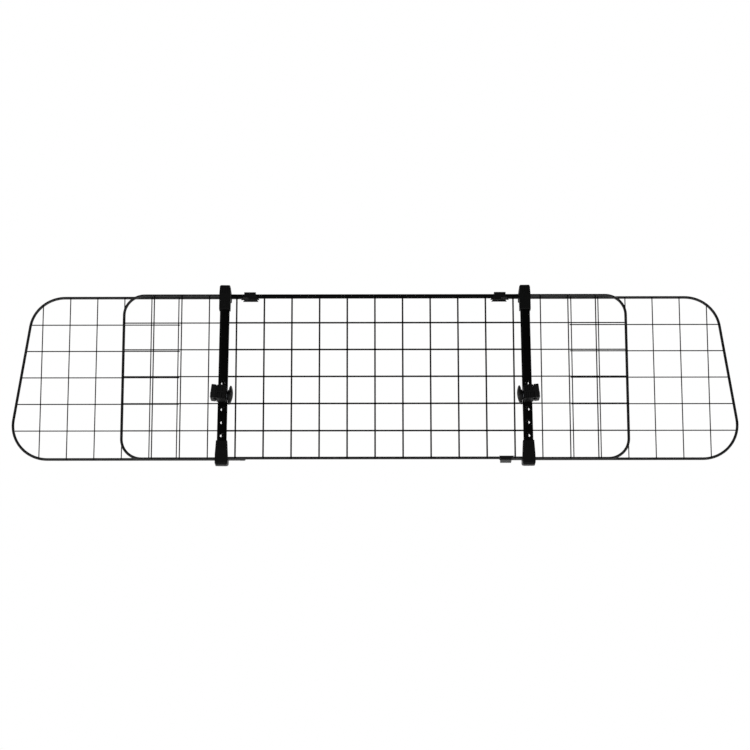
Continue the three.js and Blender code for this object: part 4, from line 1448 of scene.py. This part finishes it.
@dataclass
class Clamp(Assembly):
    """A headrest clamp in its own frame: X outwards, Y back from the headrest rod's axis, Z up."""
    tilt: float = math.radians(6.5)
    height: float = 24.5
    inner: float = -7.8
    plane: float = 10.2
    front: float = -9.5
    groove_floor: float = 4.0
    groove_depth: float = 4.5
    mouth_round: float = 0.7
    floor_round: float = 0.5
    body_edge: float = 2.0
    stub_edge: float = 0.6
    jaw_outer: float = 19.7
    jaw_back: float = 20.0
    jaw_edge: float = 1.6
    pocket_wall: float = 1.9
    pocket_depth: float = 3.2
    pocket_round: float = 1.0
    screw_y: float = 11.0
    bolt: float = 3.0
    peg: float = 1.8
    peg_spread: float = 9.0
    peg_length: float = 12.5
    nut_half: float = 5.0
    nut_thickness: float = 4.0
    washer_radius: float = 7.0
    washer_thickness: float = 1.2
    washer_edge: float = 0.25
    washer_sides: int = 40
    bevel: float = 0.4
    nut_bevel: float = 0.2
    gap: float = 0.3
    margin: float = 1.0

    @property
    def knob(self) -> StarKnob:
        """The knob, a gap past the washer."""
        return StarKnob(self.inner - self.gap - self.washer_thickness - self.gap, self.screw_y)

    def jaw_face(self, out: int) -> List[Corner]:
        """The grooved face where the body and the jaw meet.

        Args:
            out: 1 on the body and -1 on the jaw.

        Returns:
            Its corners from front to back, seen from above.
        """
        face = self.plane - out * self.gap / 2
        floor, half = face - out * self.groove_depth, self.groove_floor / 2
        mouth = half + self.groove_depth
        return [(face, -mouth, self.mouth_round), (floor, -half, self.floor_round),
                (floor, half, self.floor_round), (face, mouth, self.mouth_round)]

    def block(self, plan: np.ndarray, left: float, right: float, back: float,
              edge: float) -> bpy.types.Object:
        """A moulded block: its plan pushed up, and kept within a rounded rectangle seen from the front.

        Args:
            plan: its outline from above.
            left: the rectangle's left side.
            right: its right side.
            back: the block's rear face.
            edge: radius of the rectangle's corners.

        Returns:
            The object, in millimetres.
        """
        half = self.height / 2
        piece = new_object(prism(plan, Axis.Z, -half, half))
        face = rectangle(left, -half, right, half, edge)
        carved(piece, [prism(face, Axis.Y, self.front - self.margin, back + self.margin)], Carve.KEEP)
        return piece

    def body(self) -> bpy.types.Object:
        """The body, cored and drilled, with the slot that holds the nut.

        Returns:
            The piece, in millimetres.
        """
        stub, gap, margin = self.stub_edge, self.gap, self.margin
        outer, back = self.plane - gap / 2, self.layout.clamp_back
        plan = outline([(self.inner, self.front, self.body_edge), (outer, self.front, stub),
                        *self.jaw_face(1), (outer, back, stub), (self.inner, back, stub)])
        piece = self.block(plan, self.inner, outer, back, self.body_edge)
        clear, slot, nut = self.bolt + gap, self.layout.nut_front - gap, self.nut_half + gap
        corner = self.nut_half / HEX_FLAT + gap
        start = self.inner - margin
        peg_start = outer - self.peg_length - gap
        for tools in ([drill(Axis.X, (start, self.screw_y, 0), clear, outer + margin - start)],
                      [drill(Axis.Y, (0, slot, 0), clear, back - slot + margin)],
                      [prism(rectangle(slot, -nut, slot + self.nut_thickness + 2 * gap, nut), Axis.X,
                             start, corner)],
                      [drill(Axis.X, (peg_start, self.screw_y, up * self.peg_spread), self.peg + gap,
                             outer + margin - peg_start) for up in (-1, 1)],
                      self.pockets(outer, self.height / 2)):
            carved(piece, tools)
        return edged(piece, self.bevel)

    def pockets(self, outer: float, half: float) -> List[Shell]:
        """Four coring pockets in the body's front, two by two.

        Args:
            outer: the body's outer face.
            half: half its height.

        Returns:
            The tools that cut them.
        """
        wall, middle = self.pocket_wall, (self.inner + outer) / 2
        rib = wall / 2
        spans_x = ((self.inner + wall, middle - rib), (middle + rib, outer - wall))
        spans_z = ((-half + wall, -rib), (rib, half - wall))
        return [prism(rectangle(x[0], z[0], x[1], z[1], self.pocket_round), Axis.Y, self.front - self.margin,
                      self.front + self.pocket_depth) for x in spans_x for z in spans_z]

    def jaw(self) -> bpy.types.Object:
        """The moving jaw with its two guide pegs.

        Returns:
            The piece, in millimetres.
        """
        stub, edge = self.stub_edge, self.jaw_edge
        inner, outer, back = self.plane + self.gap / 2, self.jaw_outer, self.jaw_back
        plan = outline([(inner, self.front, stub), (outer, self.front, edge), (outer, back, edge),
                        (inner, back, stub), *self.jaw_face(-1)[::-1]])
        piece = self.block(plan, inner, outer, back, edge)
        carved(piece, [drill(Axis.X, (inner - self.margin, self.screw_y, 0), self.bolt + self.gap,
                             outer - inner + 2 * self.margin)])
        edged(piece, self.bevel)
        pegs = new_object(joined([
            straight_rod((inner - self.peg_length, z), (inner + self.margin, z), self.screw_y, self.peg,
                         sides=20, rim=0.5) for z in (-self.peg_spread, self.peg_spread)]))
        with bpy.context.temp_override(active_object=piece, selected_editable_objects=[piece, pegs]):
            bpy.ops.object.join()
        return piece

    def washer(self) -> Shell:
        """The washer between the knob and the body.

        Returns:
            The piece's surface, in millimetres.
        """
        bore, outer, thick, edge = (
            self.bolt + self.gap, self.washer_radius, self.washer_thickness, self.washer_edge)
        ring = turned([(bore, 0), (outer - edge, 0), (outer, edge), (outer, thick - edge),
                       (outer - edge, thick), (bore, thick)], self.washer_sides, looped=True)
        return laid(ring, Axis.X, (self.inner - self.gap, self.screw_y, 0), -1)

    def nut(self) -> bpy.types.Object:
        """The hexagon nut held in the body's slot.

        Returns:
            The piece, in millimetres.
        """
        front, thick = self.layout.nut_front, self.nut_thickness
        piece = new_object(prism(around_circle(self.nut_half / HEX_FLAT, 6), Axis.Y, front, front + thick))
        carved(piece, [drill(Axis.Y, (0, front - thick / 2, 0), self.bolt + self.gap, 2 * thick)])
        return edged(piece, self.nut_bevel, 2)

    def screw(self) -> bpy.types.Object:
        """The bolt through the jaw and the body into the knob.

        Returns:
            The piece, in millimetres.
        """
        head = self.jaw_outer + self.gap
        bolt = HexBolt(head_radius=5.0, head_height=1.8, length=head - self.knob.bore_end - self.gap)
        return bolt.piece(Axis.X, (head, self.screw_y, 0), -1)

    def build(self) -> None:
        """Builds the body, washer, nut, jaw, bolt and knob, tilted with the clamp's outer end up."""
        word, sign = self.side.word, self.side.value
        place = (Matrix.Translation((sign * self.layout.post_x, 0, 0))
                 @ Matrix.Rotation(-sign * self.tilt, 4, "Y") @ Matrix.Diagonal((sign, 1, 1, 1)))
        for body, node, make, slot in (
                ("clamp", "clamp_body", self.body, Slot.CLAMP),
                ("clamp", "clamp_washer", self.washer, Slot.ZINC),
                ("clamp", "swivel_nut", self.nut, Slot.ZINC), ("jaw", "clamp_jaw", self.jaw, Slot.CLAMP),
                ("jaw", "clamp_bolt", self.screw, Slot.BOLT),
                ("knob", "clamp_knob", self.knob.piece, Slot.KNOB)):
            self.wardrobe.dress(f"{word}_{node}", make(), place, slot, f"{word}_{body}")


# Studio


@dataclass(frozen=True)
class Lamp:
    """A soft box: its place, width and height in metres, and how bright its face is, where 1 is white."""
    name: str
    spot: Spot
    size: Span
    radiance: float


@dataclass
class Studio:
    """The photograph's view of the guard, with a pale floor and soft lamps at a plain level."""
    centre: Spot = (0.0, 0.0416, 0.0429)
    distance: float = 4.6
    elevation: float = math.radians(-14.0)
    roll: float = -0.0013
    lens: float = 122.67
    sensor: float = 36.0
    far: float = 200.0
    floor_level: float = -1.5
    floor_reach: float = 40.0
    floor_depth: float = 0.02
    floor_glow: float = 0.55
    speckle_mm: float = 400.0
    floor_deep: str = "#fbfbfb"
    floor_pale: str = "#ffffff"
    surround: float = 0.45
    room: float = 0.05
    backdrop_edge: Span = (0.45, 0.8)
    lamps: Tuple[Lamp, ...] = (Lamp("low_front_box", (0.0, -1.9, -0.7), (2.6, 0.3), 6.0),
                               Lamp("high_left_box", (-1.6, -2.4, 1.5), (1.2, 1.2), 3.0),
                               Lamp("high_back_box", (0.9, 2.2, 1.6), (1.6, 1.0), 2.0))

    def stood(self, name: str, data: Any, matrix: Matrix) -> bpy.types.Object:
        """Stands a camera or lamp in the scene.

        Args:
            name: of the object.
            data: the camera's or lamp's data.
            matrix: its place, in metres.

        Returns:
            The object.
        """
        made = bpy.data.objects.new(name, data)
        made.matrix_world = matrix
        bpy.context.scene.collection.objects.link(made)
        return made

    def camera(self) -> None:
        """A camera below the guard that looks up at it along +Y."""
        data = bpy.data.cameras.new("photo_camera")
        data.lens, data.sensor_width, data.clip_end = self.lens, self.sensor, self.far
        x, y, z = self.centre
        spot = Matrix.Translation((x, y - self.distance * math.cos(self.elevation),
                                   z + self.distance * math.sin(self.elevation)))
        bpy.context.scene.camera = self.stood("photo_camera", data, (
            spot @ Matrix.Rotation(math.pi / 2 - self.elevation, 4, "X")
            @ Matrix.Rotation(self.roll, 4, "Z")))

    def lamp(self, box: Lamp) -> None:
        """A soft box aimed at the guard; its power is its radiance times pi times its area.

        Args:
            box: its sizes.
        """
        data = bpy.data.lights.new(box.name, "AREA")
        data.shape = "RECTANGLE"
        data.size, data.size_y = box.size
        data.energy = box.radiance * math.pi * box.size[0] * box.size[1]
        place = Matrix.Translation(box.spot)
        toward = place.to_translation() - Matrix.Translation(self.centre).to_translation()
        self.stood(box.name, data, place @ toward.to_track_quat("Z", "Y").to_matrix().to_4x4())

    def seen(self, tree: bpy.types.NodeTree) -> bpy.types.NodeSocket:
        """One where a ray comes from the camera, a reflection or a transmission, and zero elsewhere.

        Args:
            tree: the tree that it is for.

        Returns:
            The socket that gives it.
        """
        path = add_node(tree, "ShaderNodeLightPath")
        some = add_node(tree, "ShaderNodeMath", {"operation": "ADD"}, {
            0: path.outputs["Is Camera Ray"], 1: path.outputs["Is Glossy Ray"]})
        return add_node(tree, "ShaderNodeMath", {"operation": "ADD", "use_clamp": True}, {
            0: some.outputs[0], 1: path.outputs["Is Transmission Ray"]}).outputs[0]

    def world(self) -> None:
        """A white surround at a plain level; reflections show its backdrop and a dim room."""
        world = bpy.data.worlds.new("white_studio")
        bpy.context.scene.world = world
        world.use_nodes = True
        tree = world.node_tree
        tree.nodes.clear()
        heading = add_node(tree, "ShaderNodeSeparateXYZ", inputs={
            0: add_node(tree, "ShaderNodeTexCoord").outputs["Generated"]})
        backdrop = add_node(tree, "ShaderNodeMapRange", {"interpolation_type": "SMOOTHSTEP"}, {
            "Value": heading.outputs["Y"], "From Min": self.backdrop_edge[0],
            "From Max": self.backdrop_edge[1], "To Min": self.room, "To Max": 1.0})
        path = add_node(tree, "ShaderNodeLightPath")
        # A number Mix takes its factor at input 0 and its numbers at 2 and 3.
        mirrored = add_node(tree, "ShaderNodeMix", {"data_type": "FLOAT"}, {
            0: path.outputs["Is Glossy Ray"], 2: 1.0, 3: backdrop.outputs[0]})
        plain, white = (
            add_node(tree, "ShaderNodeBackground", inputs={"Color": (1, 1, 1, 1), "Strength": strength})
            for strength in (self.surround, mirrored.outputs[0]))
        both = add_node(tree, "ShaderNodeMixShader", inputs={
            0: self.seen(tree), 1: plain.outputs[0], 2: white.outputs[0]})
        add_node(tree, "ShaderNodeOutputWorld", inputs={"Surface": both.outputs[0]})

    def floor(self) -> None:
        """A wide white floor far below, which keeps the guard's shadow."""
        reach, level = self.floor_reach, self.floor_level
        piece = new_object(prism(rectangle(-reach, -reach, reach, reach), Axis.Z,
                                 level - self.floor_depth, level), "studio_floor")
        material, tree, spot = fresh("white_paint_floor")
        speckle = add_node(tree, "ShaderNodeTexNoise", inputs={
            "Vector": spot, "Scale": fine(self.speckle_mm)})
        tone = add_node(tree, "ShaderNodeMix", {"data_type": "RGBA"}, {
            0: speckle.outputs[0], 6: linear(self.floor_deep), 7: linear(self.floor_pale)})
        paint = add_node(tree, "ShaderNodeBsdfDiffuse", inputs={"Color": tone.outputs[2]})
        glow = add_node(tree, "ShaderNodeEmission", inputs={"Strength": self.floor_glow})
        seen_glow = add_node(tree, "ShaderNodeMixShader", inputs={0: self.seen(tree), 2: glow.outputs[0]})
        closed_off(tree, add_node(tree, "ShaderNodeAddShader", inputs={
            0: paint.outputs[0], 1: seen_glow.outputs[0]}))
        piece.data.materials.append(material)

    def build(self) -> None:
        """Sets up the camera, world, floor and lamps."""
        bpy.context.scene.view_settings.view_transform = "Standard"
        self.camera()
        self.world()
        self.floor()
        for box in self.lamps:
            self.lamp(box)


def main() -> None:
    """Builds the guard's pieces in order, then the studio."""
    logging.basicConfig(level=logging.INFO, format="%(name)s %(message)s")
    layout, wardrobe = Layout(), Wardrobe()
    MiddlePanel(layout, wardrobe).build()
    for side in Side:
        for assembly in (SidePanel, Wing, Post, Clamp):
            assembly(layout, wardrobe, side).build()
    Studio().build()


if __name__ == "__main__":
    main()
